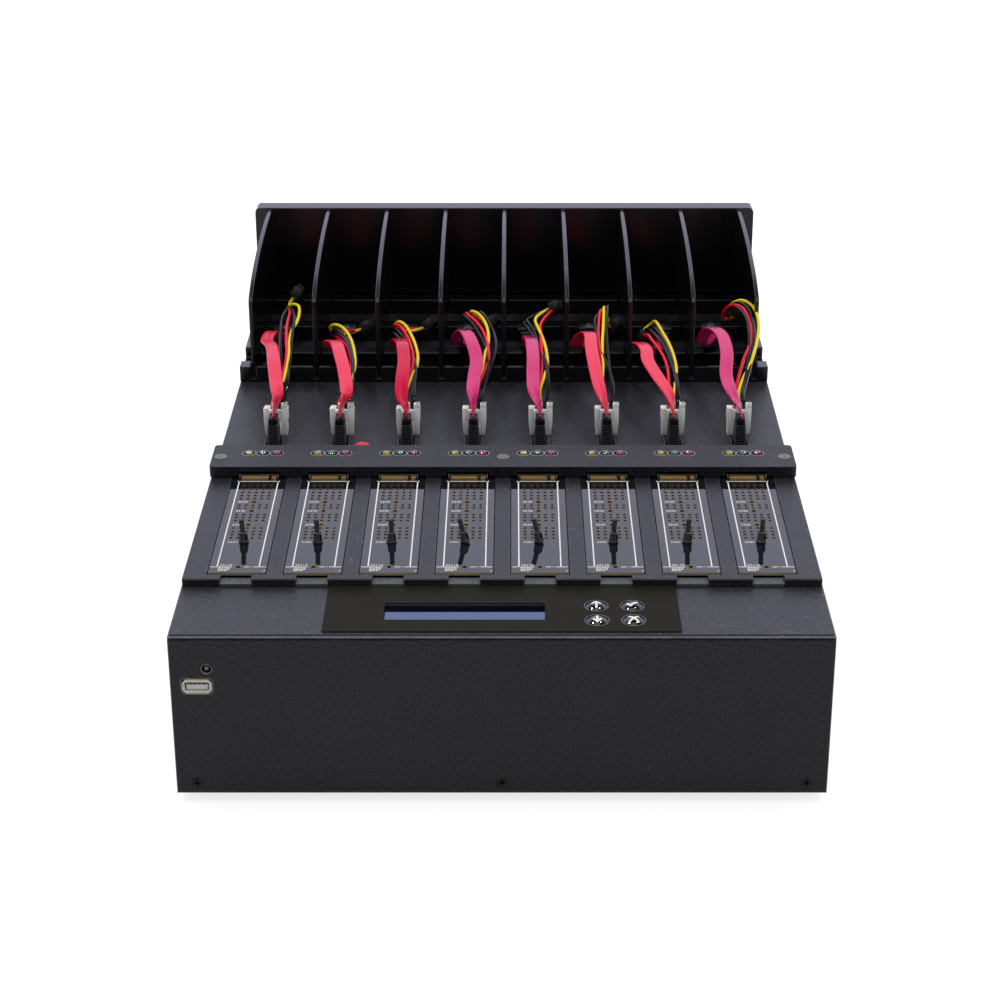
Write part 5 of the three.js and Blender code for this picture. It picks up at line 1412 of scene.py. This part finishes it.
@dataclass
class CaseDressing:
    """The finishes of the case's CAD parts, and its screws."""

    front_screws: tuple[float, ...] = (-156.0, 0.0, 156.0)
    front_screw_z: float = 5.9
    screw_radius: float = 2.85
    side_x: float = 166.5
    side_screw_ys: tuple[float, ...] = (30.0, 248.0, 470.0)
    side_screw_z: float = 7.0
    side_screw_rise: float = 0.15
    rear_screws: tuple[Flat, ...] = ((-158.0, 80.0), (158.0, 80.0), (0.0, 80.0), (-158.0, 8.0), (30.0, 8.0))
    red_disc: Point = (-83.6, 241.2, 4.2)
    weld_reach: float = 0.00001
    round_angle: float = 50.0
    edge_rounds: dict[str, tuple[float, int]] = field(default_factory=lambda: {
        "drive_rack": (0.9, 3), "rack_base": (0.6, 2), "light_bar": (0.45, 2), "tray_plate": (0.35, 2),
        "top_cover": (0.4, 2), "front_panel": (0.4, 2), "base_pan": (0.4, 2),
    })

    def dress(self, nodes: dict[str, bpy.types.Object]) -> None:
        """Gives each CAD part that shows its finish."""
        chosen = {
            "base_pan": FRONT_COAT, "top_cover": DECK_COAT, "front_panel": FRONT_COAT,
            "control_overlay": OVERLAY_FILM, "display_module": MOULDED_BLACK, "tray_plate": TRAY_COAT,
            "light_bar": BAR_COAT, "rack_base": RACK_BLACK, "drive_rack": RACK_BLACK,
            "drive_board": BOARD_GREEN, "controller_board": BOARD_GREEN, "control_board": BOARD_GREEN,
            "power_supply": SUPPLY_STEEL, "power_inlet": MOULDED_BLACK, "fan_frame": MOULDED_BLACK,
            "fan_rotor": MOULDED_BLACK,
        }
        for name, finish in chosen.items():
            nodes[name].data.materials.clear()
            nodes[name].data.materials.append(finish.material())
            log.info("%s: %s", name, finish.name)
        for name, (width, steps) in self.edge_rounds.items():
            self.soften(nodes[name], width, steps)

    def soften(self, node: bpy.types.Object, width: float, steps: int) -> None:
        """Rounds a CAD part's sharp edges with modifiers, which leave its own mesh as it is.

        Args:
            node: The part.
            width: How far the round reaches from an edge, in millimetres.
            steps: How many faces it has across.
        """
        weld = node.modifiers.new("joined_corners", "WELD")
        weld.merge_threshold = self.weld_reach
        bevel = node.modifiers.new("rounded_edges", "BEVEL")
        bevel.width = width * MILLIMETRE
        bevel.segments = steps
        bevel.limit_method = "ANGLE"
        bevel.angle_limit = math.radians(self.round_angle)
        bevel.use_clamp_overlap = True

    def build(self) -> None:
        """Builds the screws round the case, and the red disc on the deck."""
        front = [looking(FACING_FRONT, x, 0.0, self.front_screw_z) for x in self.front_screws]
        self.screws("front_screws", front)
        walls = ((FACING_LEFT, -self.side_x), (FACING_RIGHT, self.side_x))
        sides = [looking(turn, x, y, self.side_screw_z) for y in self.side_screw_ys for turn, x in walls]
        self.screws("side_screws", sides, self.side_screw_rise)
        self.screws("rear_screws", [looking(FACING_REAR, x, REAR, z) for x, z in self.rear_screws])
        x, y, radius = self.red_disc
        cup = Shape.turned([(0.0, 0.0), (radius, 0.0), (radius, 0.5), (radius - 0.3, 0.8),
                            (radius - 1.0, 0.8), (radius - 1.3, 0.55), (0.0, 0.5)], 32)
        Piece("red_disc").add(cup.moved(x, y, DECK), DISC_RED).make("case", "case_steel")

    def screws(self, name: str, places: Sequence[Matrix], rise: float = SCREW_RISE) -> None:
        """Builds the screws of one wall.

        Args:
            name: The piece's name.
            places: Where each screw's seat is.
            rise: How far the heads stand proud.
        """
        piece = Piece(name)
        for place in places:
            screw_head(piece, self.screw_radius, place, rise)
        piece.make("case", "case_steel")


@dataclass
class FrontPort:
    """The USB port and the status light behind the front panel, on one small board."""

    x: float = -153.0
    z: float = 62.2
    light_x: float = -147.8
    light_z: float = 72.0
    board_z: float = 67.2
    post_reach: Flat = (8.6, 10.1)
    contacts: tuple[float, ...] = (-3.5, -1.0, 1.0, 3.5)

    def build(self) -> None:
        """Builds the port, its board and the light."""
        piece = Piece("front_port")
        self.shell(piece)
        self.tongue(piece)
        self.board(piece)
        self.light(piece)
        piece.make("case", "port_steel", ("usb_board",))

    def shell(self, piece: Piece) -> None:
        """Builds the flared steel shell."""
        front = looking(FACING_FRONT, self.x, 0.6, self.z)
        rim = Shape.plate(cut_corners(-7.6, 7.6, -4.0, 4.0, 1.9), 0.0, 1.0,
                          [cut_corners(-6.1, 6.1, -2.35, 2.35, 0.5)])
        piece.add(rim.rounded(0.3, 2, 30.0).placed(front), PORT_STEEL)
        body = Shape.plate(cut_corners(-6.7, 6.7, -2.95, 2.95, 0.6), -13.4, 0.1,
                           [cut_corners(-6.1, 6.1, -2.35, 2.35, 0.4)])
        piece.add(body.placed(front), PORT_STEEL)
        middle = Matrix.Translation((self.x, 0.0, self.z))
        # A dark sheet at the back of the port: painted shade.
        piece.block(PAINTED_SHADE_DARK, (-6.4, 11.6, -2.6), (6.4, 12.2, 2.6), place=middle)

    def tongue(self, piece: Piece) -> None:
        """Builds the white tongue and its four contacts."""
        middle = Matrix.Translation((self.x, 0.0, self.z))
        piece.block(TONGUE_WHITE, (-5.5, 0.8, -2.1), (5.5, 12.0, 0.7), 0.25, place=middle)
        piece.block(GOLD, (-0.6, 0.75, 0.45), (0.6, 9.0, 1.2), 0.15, place=middle,
                    copies=[(across, 0.0, 0.0) for across in self.contacts])

    def board(self, piece: Piece) -> None:
        """Builds the board with its posts."""
        middle = Matrix.Translation((self.x, 0.0, self.board_z))
        piece.block(BOARD_GREEN, (-12.0, 14.0, -13.5), (12.0, 15.6, 13.5), place=middle)
        across, up = self.post_reach
        for x in (self.x - across, self.x + across):
            for z in (self.board_z - up, self.board_z + up):
                post = Shape.turned([(0.0, 0.0), (2.2, 0.0), (2.2, 12.8), (0.0, 12.8)], 16)
                piece.add(post.placed(looking(FACING_REAR, x, 1.2, z)), TIN)

    def light(self, piece: Piece) -> None:
        """Builds the green light."""
        bead = Shape.turned([(0.0, 0.0), (1.35, 0.0), (1.35, 12.0), (1.2, 12.9), (0.8, 13.2), (0.0, 13.3)],
                            24)
        piece.add(bead.placed(looking(FACING_FRONT, self.light_x, 14.0, self.light_z)), STATUS_GREEN)


# Control panel


class KeyMark(Enum):
    """The marks printed on the four keys."""

    DOWN = "key_down"
    CANCEL = "key_cancel"
    UP = "key_up"
    ACCEPT = "key_ok"


@dataclass
class ControlPanel:
    """The display and the four domed keys."""

    window_x: float = -19.0
    window_y: float = 26.8
    window_width: float = 81.7
    window_depth: float = 18.2
    window_lap: float = 0.6
    glass: float = 88.1
    key_places: tuple[Flat, ...] = ((48.0, 17.1), (66.4, 17.1), (48.0, 33.1), (66.4, 33.1))
    key_radius: float = 5.9
    crown: tuple[Flat, ...] = ((0.0, 92.55), (1.0, 92.49), (2.0, 92.32), (2.8, 92.08), (3.5, 91.79),
                               (4.1, 91.45), (4.6, 91.1), (5.0, 90.85), (5.3, 90.62), (5.6, 90.35),
                               (5.9, 90.0))
    ring_radii: Flat = (5.95, 6.15)
    ring_heights: Flat = (90.72, 90.82)
    stroke: float = 0.6
    mark_forward: float = 0.8
    mark_cuts: tuple[float, ...] = tuple(k * 0.8 for k in range(-4, 5))

    def build(self) -> None:
        """Builds the display's face, the keys and the pale ring of painted highlight round each."""
        self.display()
        rings = Piece("key_ring_highlights")
        inner, outer = self.ring_radii
        for mark, (x, y) in zip(KeyMark, self.key_places):
            self.key(mark, x, y)
            # The pale ring round each key is painted highlight.
            ring = Shape.plate(ring_points(outer, 40), *self.ring_heights, [ring_points(inner, 40)])
            rings.add(ring.moved(x, y, 0.0), RIM_HIGHLIGHT_GREY)
        rings.make("case", "gloss_overlay")

    def display(self) -> None:
        """Lays the blue film under the window."""
        wide, deep = self.window_width / 2 + self.window_lap, self.window_depth / 2 + self.window_lap
        place = Matrix.Translation((self.window_x, self.window_y, self.glass))
        piece = Piece("display_face").block(SCREEN_FILM, (-wide, -deep, 0.0), (wide, deep, 0.12), 0.04, 1,
                                            place)
        piece.make("case", "display")

    def crown_height(self, radius: float) -> float:
        """Gives the height of a key's crown at a radius."""
        for (near, high), (far, low) in zip(self.crown, self.crown[1:]):
            if radius <= far:
                return high + (low - high) * (radius - near) / (far - near)
        return self.crown[-1][1]

    def key(self, mark: KeyMark, x: float, y: float) -> None:
        """Builds one key with its mark.

        Args:
            mark: The key's mark, whose value is the key's node.
            x: The key's place across.
            y: The key's place back.
        """
        profile = [(0.0, 84.2), (2.0, 84.2), (2.0, 87.2), (7.0, 87.2), (7.0, 88.7), (self.key_radius, 88.7)]
        profile += reversed(self.crown)
        piece = Piece(f"{mark.value}_cap").add(Shape.turned(profile, 48).moved(x, y, 0.0), KEY_GLOSS)
        outline = [(px, py - self.mark_forward) for px, py in self.mark_outline(mark)]
        piece.add(self.printed(outline).moved(x, y, 0.0), MARK_WHITE)
        piece.make(mark.value, "key_plastic", (mark.value,))

    def printed(self, outline: Sequence[Flat]) -> Shape:
        """Lays a flat mark on a key's dome.

        Args:
            outline: The mark's corners.

        Returns:
            The mark, bent to the dome.
        """
        shape = Shape.plate(outline, 0.0, 1.0)
        for axis in (Vector((1.0, 0.0, 0.0)), Vector((0.0, 1.0, 0.0))):
            for cut in self.mark_cuts:
                geom = [*shape.bm.verts, *shape.bm.edges, *shape.bm.faces]
                bmesh.ops.bisect_plane(shape.bm, geom=geom, dist=0.0001, plane_co=axis * cut, plane_no=axis)
        for vert in shape.bm.verts:
            crown = self.crown_height(math.hypot(vert.co.x, vert.co.y))
            vert.co.z = crown + (0.05 if vert.co.z > 0.5 else -0.12)
        return shape.outward()

    def mark_outline(self, mark: KeyMark) -> list[Flat]:
        """Gives the outline of a key's mark.

        Args:
            mark: Which mark.

        Returns:
            Its corners.
        """
        if mark is KeyMark.CANCEL:
            reach, half = 2.2, self.stroke * math.sqrt(2.0)
            return [(0.0, half), (reach, reach + half), (reach + half, reach), (half, 0.0),
                    (reach + half, -reach), (reach, -reach - half), (0.0, -half), (-reach, -reach - half),
                    (-reach - half, -reach), (-half, 0.0), (-reach - half, reach), (-reach, reach + half)]
        if mark is KeyMark.ACCEPT:
            return [(-3.3, 0.0), (-2.4, 0.9), (-1.0, -0.6), (2.4, 2.7), (3.3, 1.8), (-1.0, -2.4)]
        hand = 1.0 if mark is KeyMark.UP else -1.0
        arrow = [(0.0, 3.2), (2.6, 0.6), (1.8, -0.3), (0.62, 0.9), (0.62, -3.1), (-0.62, -3.1), (-0.62, 0.9),
                 (-1.8, -0.3), (-2.6, 0.6)]
        return [(px, py * hand) for px, py in arrow]


# Card tray


@dataclass
class CardTray:
    """The eight adapter boards for M.2 cards, with their pull pins, and the floors of the finger notches."""

    datum: float = 179.3
    top: float = TRAY_FACE
    under: float = 93.3
    print_rise: float = 0.04
    card_lengths: tuple[int, ...] = (30, 42, 60, 80, 110)
    hole_rows: tuple[float, ...] = (28.4, 40.3, 58.1, 80.0, 110.0)
    fine_print: tuple[tuple[Flat, ...], ...] = (
        ((-10.2, 1.4), (-8.4, 0.8), (-7.2, 1.8), (-5.0, 0.9)),
        ((-10.2, 0.9), (-8.9, 1.6), (-6.8, 0.8), (-5.6, 1.5)),
        ((-10.2, 1.9), (-7.9, 0.7), (-6.8, 1.2)),
    )
    fine_rows: tuple[float, ...] = (67.6, 66.1, 64.6)
    hole_radius: float = 1.35
    via_pitch: float = 3.8
    via_columns: tuple[int, ...] = (-2, -1, 0, 1, 2)
    via_rows: tuple[float, ...] = (6, 11, 15.5, 20, 24, 32.6, 36.3, 45.1, 48.6, 52.6, 62.3, 66.9, 70.4, 74.7)
    contacts: tuple[float, ...] = tuple(0.5 * k - 9.5 for k in range(39))
    key_gap: Flat = (5.4, 7.2)
    pin_y: float = 99.3
    leans: tuple[Flat, ...] = ((-4, 3), (-2, 2), (0, 3), (-14, 4), (-13, 4), (3, 2), (3, 3), (3, 4))
    pin_profile: tuple[Flat, ...] = (
        (0.0, -1.6), (0.75, -1.6), (0.78, 0.08), (2.6, 0.1), (2.66, 0.3), (2.66, 0.9), (2.45, 1.1),
        (2.1, 4.5), (1.75, 4.6), (1.75, 4.75), (2.08, 4.85), (2.08, 5.5), (1.9, 5.7), (1.35, 5.8),
        (1.24, 6.4), (1.22, 12.2), (1.38, 12.4), (1.38, 12.95), (1.1, 13.3), (0.0, 13.4),
    )

    def build(self) -> None:
        """Builds every bay's board and pin, the notches' worn bare floors in front of the boards, and a pale
        strip of painted highlight on each notch's front face.
        """
        for number, place in enumerate(BAY_PLACES, 1):
            node = f"adapter_{number}"
            board = self.board(f"card_board_{number}")
            board.make(node, "adapter_board", (node,), at=Matrix.Translation(place))
            self.pin(number, place[0])
        floors = Piece("notch_floors")
        floors.block(LEDGE_WEAR_AND_HIGHLIGHT, (-8.1, 55.55, 91.9), (8.1, 62.5, 91.96), copies=BAY_PLACES)
        # A pale strip on each notch's front face: painted highlight, in the floors' finish.
        floors.block(LEDGE_WEAR_AND_HIGHLIGHT, (-8.1, 55.45, 90.5), (8.1, 55.56, 91.96), copies=BAY_PLACES)
        floors.make("case", "tray_steel")

    def board(self, name: str) -> Piece:
        """Builds one board, centred across, at its own place back and up.

        Args:
            name: The piece's name.

        Returns:
            The board.
        """
        piece = Piece(name)
        holes = [ring_points(self.hole_radius, 16, 0.0, self.datum - row) for row in self.hole_rows]
        edge = [(-15.0, 62.6), (15.0, 62.6), (15.0, 193.0), (12.0, 193.0), (12.0, 198.5), (-12.0, 198.5),
                (-12.0, 193.0), (-15.0, 193.0)]
        # A black skin over the board's sides: painted shade of the pocket's walls.
        flank_shade = Shape.plate(rectangle(-15.02, 15.02, 62.9, 193.01), self.under + 0.1, self.top - 0.02,
                             [rectangle(-14.98, 14.98, 62.91, 193.0)])
        piece.add(Shape.plate(edge, self.under, self.top - 0.03, holes), BOARD_EDGE)
        piece.add(Shape.plate(rectangle(-15.0, 15.0, 62.68, 193.0), self.top - 0.03, self.top, holes),
                  BOARD_MASK)
        piece.add(flank_shade, MOULDED_BLACK)
        self.printing(piece)
        self.pads(piece)
        self.connector(piece)
        return piece

    def printing(self, piece: Piece) -> None:
        """Prints the white lines, corner marks and card sizes."""
        low, high = self.top, self.top + self.print_rise
        front, rear = self.datum - self.hole_rows[-1], self.datum
        bars = [(-11.33, -10.67, front, rear), (10.67, 11.33, front, rear),
                (-11.4, 11.4, rear - 0.75, rear - 0.1), (-14.6, -3.0, front - 0.3, front + 0.3),
                (3.0, 5.8, front - 0.3, front + 0.3), (8.2, 14.6, front - 0.3, front + 0.3),
                (-14.6, -11.45, rear + 9.6, rear + 10.3), (11.45, 14.6, rear + 9.6, rear + 10.3),
                (13.4, 14.4, 64.0, 64.5), (13.9, 14.4, 64.0, 65.2)]
        bars += [(start, start + wide, row, row + 0.75)
                 for row, marks in zip(self.fine_rows, self.fine_print) for start, wide in marks]
        for bar in bars:
            piece.add(Shape.plate(rectangle(*bar), low, high), MARK_WHITE)
        for side in (-11.2, 11.2):
            piece.add(Shape.plate(ring_points(0.8, 14, side, rear - 0.4), low, high), MARK_WHITE)
        for length, row in zip(self.card_lengths, self.hole_rows):
            place = (-6.1, self.datum - row, 0.0) if length < 110 else (-6.6, front + 2.2, 0.0)
            piece.add(Shape.lettered(f"22{length}", 2.7, low, high).moved(*place), MARK_WHITE)

    def pads(self, piece: Piece) -> None:
        """Lays the gold rings of the holes and the rows of small plated vias."""
        low, high, bore = self.top, self.top + 0.05, self.hole_radius
        for row in self.hole_rows:
            ring = Shape.plate(ring_points(2.2, 20), low, high, [ring_points(bore, 20)])
            piece.add(ring.moved(0.0, self.datum - row, 0.0), DIM_GOLD)
            barrel = Shape.plate(ring_points(bore + 0.01, 20), self.under + 0.05, self.top - 0.05,
                                 [ring_points(bore - 0.08, 20)])
            piece.add(barrel.moved(0.0, self.datum - row, 0.0), GOLD)
        places = [(column * self.via_pitch, self.datum - row, 0.0) for row in self.via_rows
                  for column in self.via_columns]
        rims = Shape.plate(ring_points(1.2, 12), low, high, [ring_points(0.9, 12)]).repeated(places)
        piece.add(rims, DIM_GOLD)
        # Dark discs inside the vias: painted shade of the holes.
        piece.add(Shape.plate(ring_points(0.92, 12), low, low + 0.02).repeated(places), PAINTED_SHADE_DARK)
        piece.block(BRASS, (6.4, self.datum - 110.6, low), (7.6, self.datum - 109.4, high))

    def connector(self, piece: Piece) -> None:
        """Builds the card connector with its window of gold contacts."""
        top, datum = self.top, self.datum
        rear, deep = datum + 8.7, datum + 3.7
        around = [(-11.0, datum), (-10.0, datum), (-10.0, deep), (10.0, deep), (10.0, datum), (11.0, datum),
                  (11.0, rear), (-11.0, rear)]
        piece.add(Shape.plate(around, top + 1.7, top + 2.4).rounded(0.16, 1), MOULDED_BLACK)
        piece.block(MOULDED_BLACK, (-11.0, datum + 5.0, top), (11.0, rear, top + 1.8), 0.15, 1)
        piece.block(MOULDED_BLACK, (-11.0, datum, top), (11.0, datum + 5.2, top + 0.25))
        for side in (-10.5, 10.5):
            piece.block(MOULDED_BLACK, (side - 0.5, datum, top + 0.2), (side + 0.5, rear, top + 1.8))
        piece.block(MOULDED_BLACK, (5.7, datum + 0.1, top + 0.2), (6.9, datum + 5.2, top + 1.9))
        gap, end = self.key_gap
        piece.block(BRASS, (-0.16, datum + 0.1, top + 0.3), (0.16, datum + 5.1, top + 1.62),
                    copies=[(across, 0.0, 0.0) for across in self.contacts if not gap < across < end])
        piece.block(DIM_GOLD, (-9.9, datum + 0.5, top + 0.2), (9.9, datum + 5.1, top + 0.9))
        # Thin pale strips along the frame's top edges: painted highlight.
        for left, right, front in ((-11.0, 11.0, 8.54), (-11.0, -10.8, 0.0), (10.8, 11.0, 0.0)):
            piece.block(RIM_HIGHLIGHT_GREY, (left, datum + front, top + 2.36), (right, rear, top + 2.42))
        for side in (-10.2, 10.2):
            piece.block(TIN, (side - 1.2, rear - 1.6, top), (side + 1.2, rear + 0.9, top + 0.25))

    def pin(self, number: int, x: float) -> None:
        """Builds one leaning pull pin.

        Args:
            number: The bay's number.
            x: The bay's middle.
        """
        across, back = self.leans[number - 1]
        base = self.top + 2.7 * math.sin(math.radians(math.hypot(across, back)))
        place = (Matrix.Translation((x, self.pin_y, base)) @ Matrix.Rotation(math.radians(-back), 4, "X")
                 @ Matrix.Rotation(math.radians(across), 4, "Y"))
        piece = Piece(f"pull_grip_{number}").add(Shape.turned(self.pin_profile, 24), PIN_BLACK)
        # A dark block on the body's side: painted shade of its slot.
        piece.block(PAINTED_SHADE_DARK, (1.3, -1.75, 1.6), (2.3, -0.35, 4.4), 0.3)
        for turn in range(0, 360, 60):
            piece.block(PIN_BLACK, (-0.28, 1.1, 6.2), (0.28, 1.34, 12.2), 0.08, 1,
                        Matrix.Rotation(math.radians(turn), 4, "Z"))
        piece.make(f"pull_pin_{number}", "black_plastic", (f"pull_pin_{number}",), at=place)


# Light bar


@dataclass
class LightBar:
    """The board under the light bar with its sockets and lights, and the bar's own trim."""

    pitch: float = 39.4
    spread: float = 7.95
    light_y: float = 202.9
    lens: tuple[Flat, ...] = ((0.0, 92.0), (2.5, 92.0), (2.5, 100.8), (2.4, 101.5), (2.1, 102.2),
                              (1.6, 102.8), (0.9, 103.18), (0.0, 103.3))
    rim_radii: Flat = (3.56, 3.98)
    screw_xs: tuple[float, ...] = (-161.5, 0.0, 161.0)
    screw_y: float = 197.8
    slot_turns: Flat = (35.0, 125.0)

    def build(self) -> None:
        """Builds the board, its sockets and lights, and the bar's trim."""
        piece = Piece("bay_lights")
        piece.block(BOARD_GREEN, (-162.5, 190.4, 90.5), (162.5, 210.6, 92.1))
        piece.block(MOULDED_BLACK, (-14.0, 193.5, 92.0), (14.0, 200.0, 98.3), 0.4, copies=BAY_PLACES)
        # Dark sheets in the sockets' mouths: painted shade.
        piece.block(PAINTED_SHADE_DARK, (-12.6, 193.42, 93.0), (12.6, 193.5, 95.2), copies=BAY_PLACES)
        for side, finish in ((-1, LIGHT_YELLOW), (0, LIGHT_GREEN), (1, LIGHT_RED)):
            piece.add(Shape.turned(self.lens, 24).repeated(self.light_places(side)), finish)
        piece.make("case", "green_board", ("backplane_board",))
        self.trim()

    def light_places(self, *sides: int) -> list[Point]:
        """Gives the middles of the lights on some sides of every bay."""
        return [(bay * self.pitch + side * self.spread, self.light_y, 0.0) for bay in BAYS for side in sides]

    def trim(self) -> None:
        """Builds the pale rims of painted highlight round the light holes and the bar's three screws."""
        piece = Piece("bar_trim")
        inner, outer = self.rim_radii
        # The pale rim round each light hole is painted highlight.
        rim = Shape.plate(ring_points(outer, 28), BAR_TOP - 0.05, BAR_TOP + 0.04, [ring_points(inner, 28)])
        piece.add(rim.repeated(self.light_places(-1, 0, 1)), RIM_HIGHLIGHT_GREY)
        for x in self.screw_xs:
            disc = Shape.turned([(0.0, 0.0), (3.7, 0.0), (3.7, 0.12), (3.3, 0.34), (2.2, 0.44), (0.0, 0.48)],
                                36)
            piece.add(disc.moved(x, self.screw_y, BAR_TOP), ZINC)
            # Each slot is a thin darker cross laid on the head: painted shade of a recess.
            for turn in self.slot_turns:
                slot = Shape.block((-1.8, -0.16, 0.4), (1.8, 0.16, 0.5)).tilted(turn, "Z")
                piece.add(slot.moved(x, self.screw_y, BAR_TOP), ZINC_SLOT_SHADE)
        piece.make("case", "tray_steel")


# Rear and under


@dataclass
class RearPanel:
    """The power rocker, the inlet's prongs and the fan's screws on the rear wall."""

    rocker: Point = (117.5, 494.4, 21.75)
    rocker_turn: float = -9.0
    mark_rise: float = 1.45
    mark_turn: float = 10.0
    inlet: Flat = (92.2, 21.75)
    prongs: tuple[Flat, ...] = ((-7.0, -2.0), (0.0, 2.0), (7.0, -2.0))
    fan: Flat = (-75.0, 44.5)
    fan_screw_reach: float = 35.75
    fan_screw_radius: float = 3.2
    fan_screw_rise: float = 0.5

    def build(self) -> None:
        """Builds the rear wall's small parts."""
        self.switch()
        prongs = Piece("inlet_prongs")
        for side, up in self.prongs:
            place = Matrix.Translation((self.inlet[0] + side, 0.0, self.inlet[1] + up))
            prongs.block(TIN, (-1.0, 482.0, -2.0), (1.0, 494.4, 2.0), 0.4, place=place)
        prongs.make("case", "port_steel")
        screws = Piece("fan_screws")
        reach = self.fan_screw_reach
        for x in (self.fan[0] - reach, self.fan[0] + reach):
            for z in (self.fan[1] - reach, self.fan[1] + reach):
                screw_head(screws, self.fan_screw_radius, looking(FACING_REAR, x, REAR, z),
                           self.fan_screw_rise)
        screws.make("case", "black_plastic")

    def switch(self) -> None:
        """Builds the rocker with its on and off marks."""
        piece = Piece("power_switch")
        section = [(-8.5, 1.5), (-8.1, 2.3), (0.0, 0.9), (8.1, 2.3), (8.5, 1.5), (7.4, -1.4), (3.0, -4.6),
                   (-3.0, -4.6), (-7.4, -1.4)]
        stand = Matrix(((0, 0, 1, 0), (0, 1, 0, 0), (-1, 0, 0, 0), (0, 0, 0, 1)))
        piece.add(Shape.plate(section, -5.7, 5.7).rounded(0.35).placed(stand), MOULDED_BLACK)
        dash = Shape.block((-0.35, 0.0, -1.4), (0.35, 0.2, 1.4)).tilted(self.mark_turn, "X")
        piece.add(dash.moved(0.0, self.mark_rise, 5.0), MARK_WHITE)
        ring = Shape.plate(ring_points(1.6, 20), 0.0, 0.2, [ring_points(1.15, 20)]).placed(FACING_REAR)
        piece.add(ring.tilted(-self.mark_turn, "X").moved(0.0, self.mark_rise, -5.0), MARK_WHITE)
        place = Matrix.Translation(self.rocker) @ Matrix.Rotation(math.radians(self.rocker_turn), 4, "X")
        piece.make("power_rocker", "black_plastic", ("power_rocker",), at=place)


@dataclass
class Feet:
    """The four rubber feet."""

    across: float = 138.5
    rows: tuple[tuple[str, float], ...] = (("front", 28.0), ("rear", 468.0))

    def build(self) -> None:
        """Builds each foot with the hollow of its screw."""
        for row, y in self.rows:
            for side, x in (("left", -self.across), ("right", self.across)):
                node = f"foot_{row}_{side}"
                pad = Shape.turned([(0.0, -2.4), (3.0, -2.4), (3.4, -5.8), (3.8, -6.0), (8.1, -6.0),
                                    (8.5, -5.7), (10.0, -0.4), (9.8, 0.0), (0.0, 0.0)], 40)
                head = Shape.turned([(0.0, -2.6), (2.8, -2.6), (2.8, -3.0), (2.2, -3.9), (0.0, -4.2)], 20)
                piece = Piece(f"{node}_pad").add(pad.moved(x, y, 0.0), RUBBER)
                piece.add(head.moved(x, y, 0.0), TIN).make("case", "foot_rubber", (node,))


@dataclass
class RackTrim:
    """The painted shade of the front panel's seam, and the screws in the rack's floor."""

    screws: tuple[Flat, ...] = ((-150.0, 348.5), (144.5, 348.5))
    screw_radius: float = 2.2
    floor: float = 100.4

    def build(self) -> None:
        """Builds the seam's painted shade and the screws."""
        seam = Piece("front_seam_shade")
        # Two dark strips along the seam, on the deck and on the front face: painted shade.
        seam.block(PAINTED_SHADE_DARK, (-165.5, 1.5, DECK - 0.3), (165.5, 2.7, DECK + 0.03))
        seam.block(PAINTED_SHADE_DARK, (-165.9, -0.03, DECK - 1.9), (165.9, 0.2, DECK - 1.4))
        seam.make("case", "case_steel")
        piece = Piece("rack_screws")
        for x, y in self.screws:
            screw_head(piece, self.screw_radius, Matrix.Translation((x, y, self.floor)))
        piece.make("case", "rack_plastic")


def main() -> None:
    """Builds the machine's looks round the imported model, part by part."""
    logging.basicConfig(level=logging.INFO, format="%(name)s: %(message)s")
    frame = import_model()
    studio = Studio()
    studio.set_camera()
    Leads().build()
    studio.set_world()
    studio.set_lamps()
    studio.set_floor()
    case = CaseDressing()
    case.dress(frame["nodes"])
    for assembly in (case, FrontPort(), ControlPanel(), CardTray(), LightBar(), RearPanel(), Feet(),
                     RackTrim()):
        assembly.build()
        log.info("%s done", type(assembly).__name__)


if __name__ == "__main__":
    main()
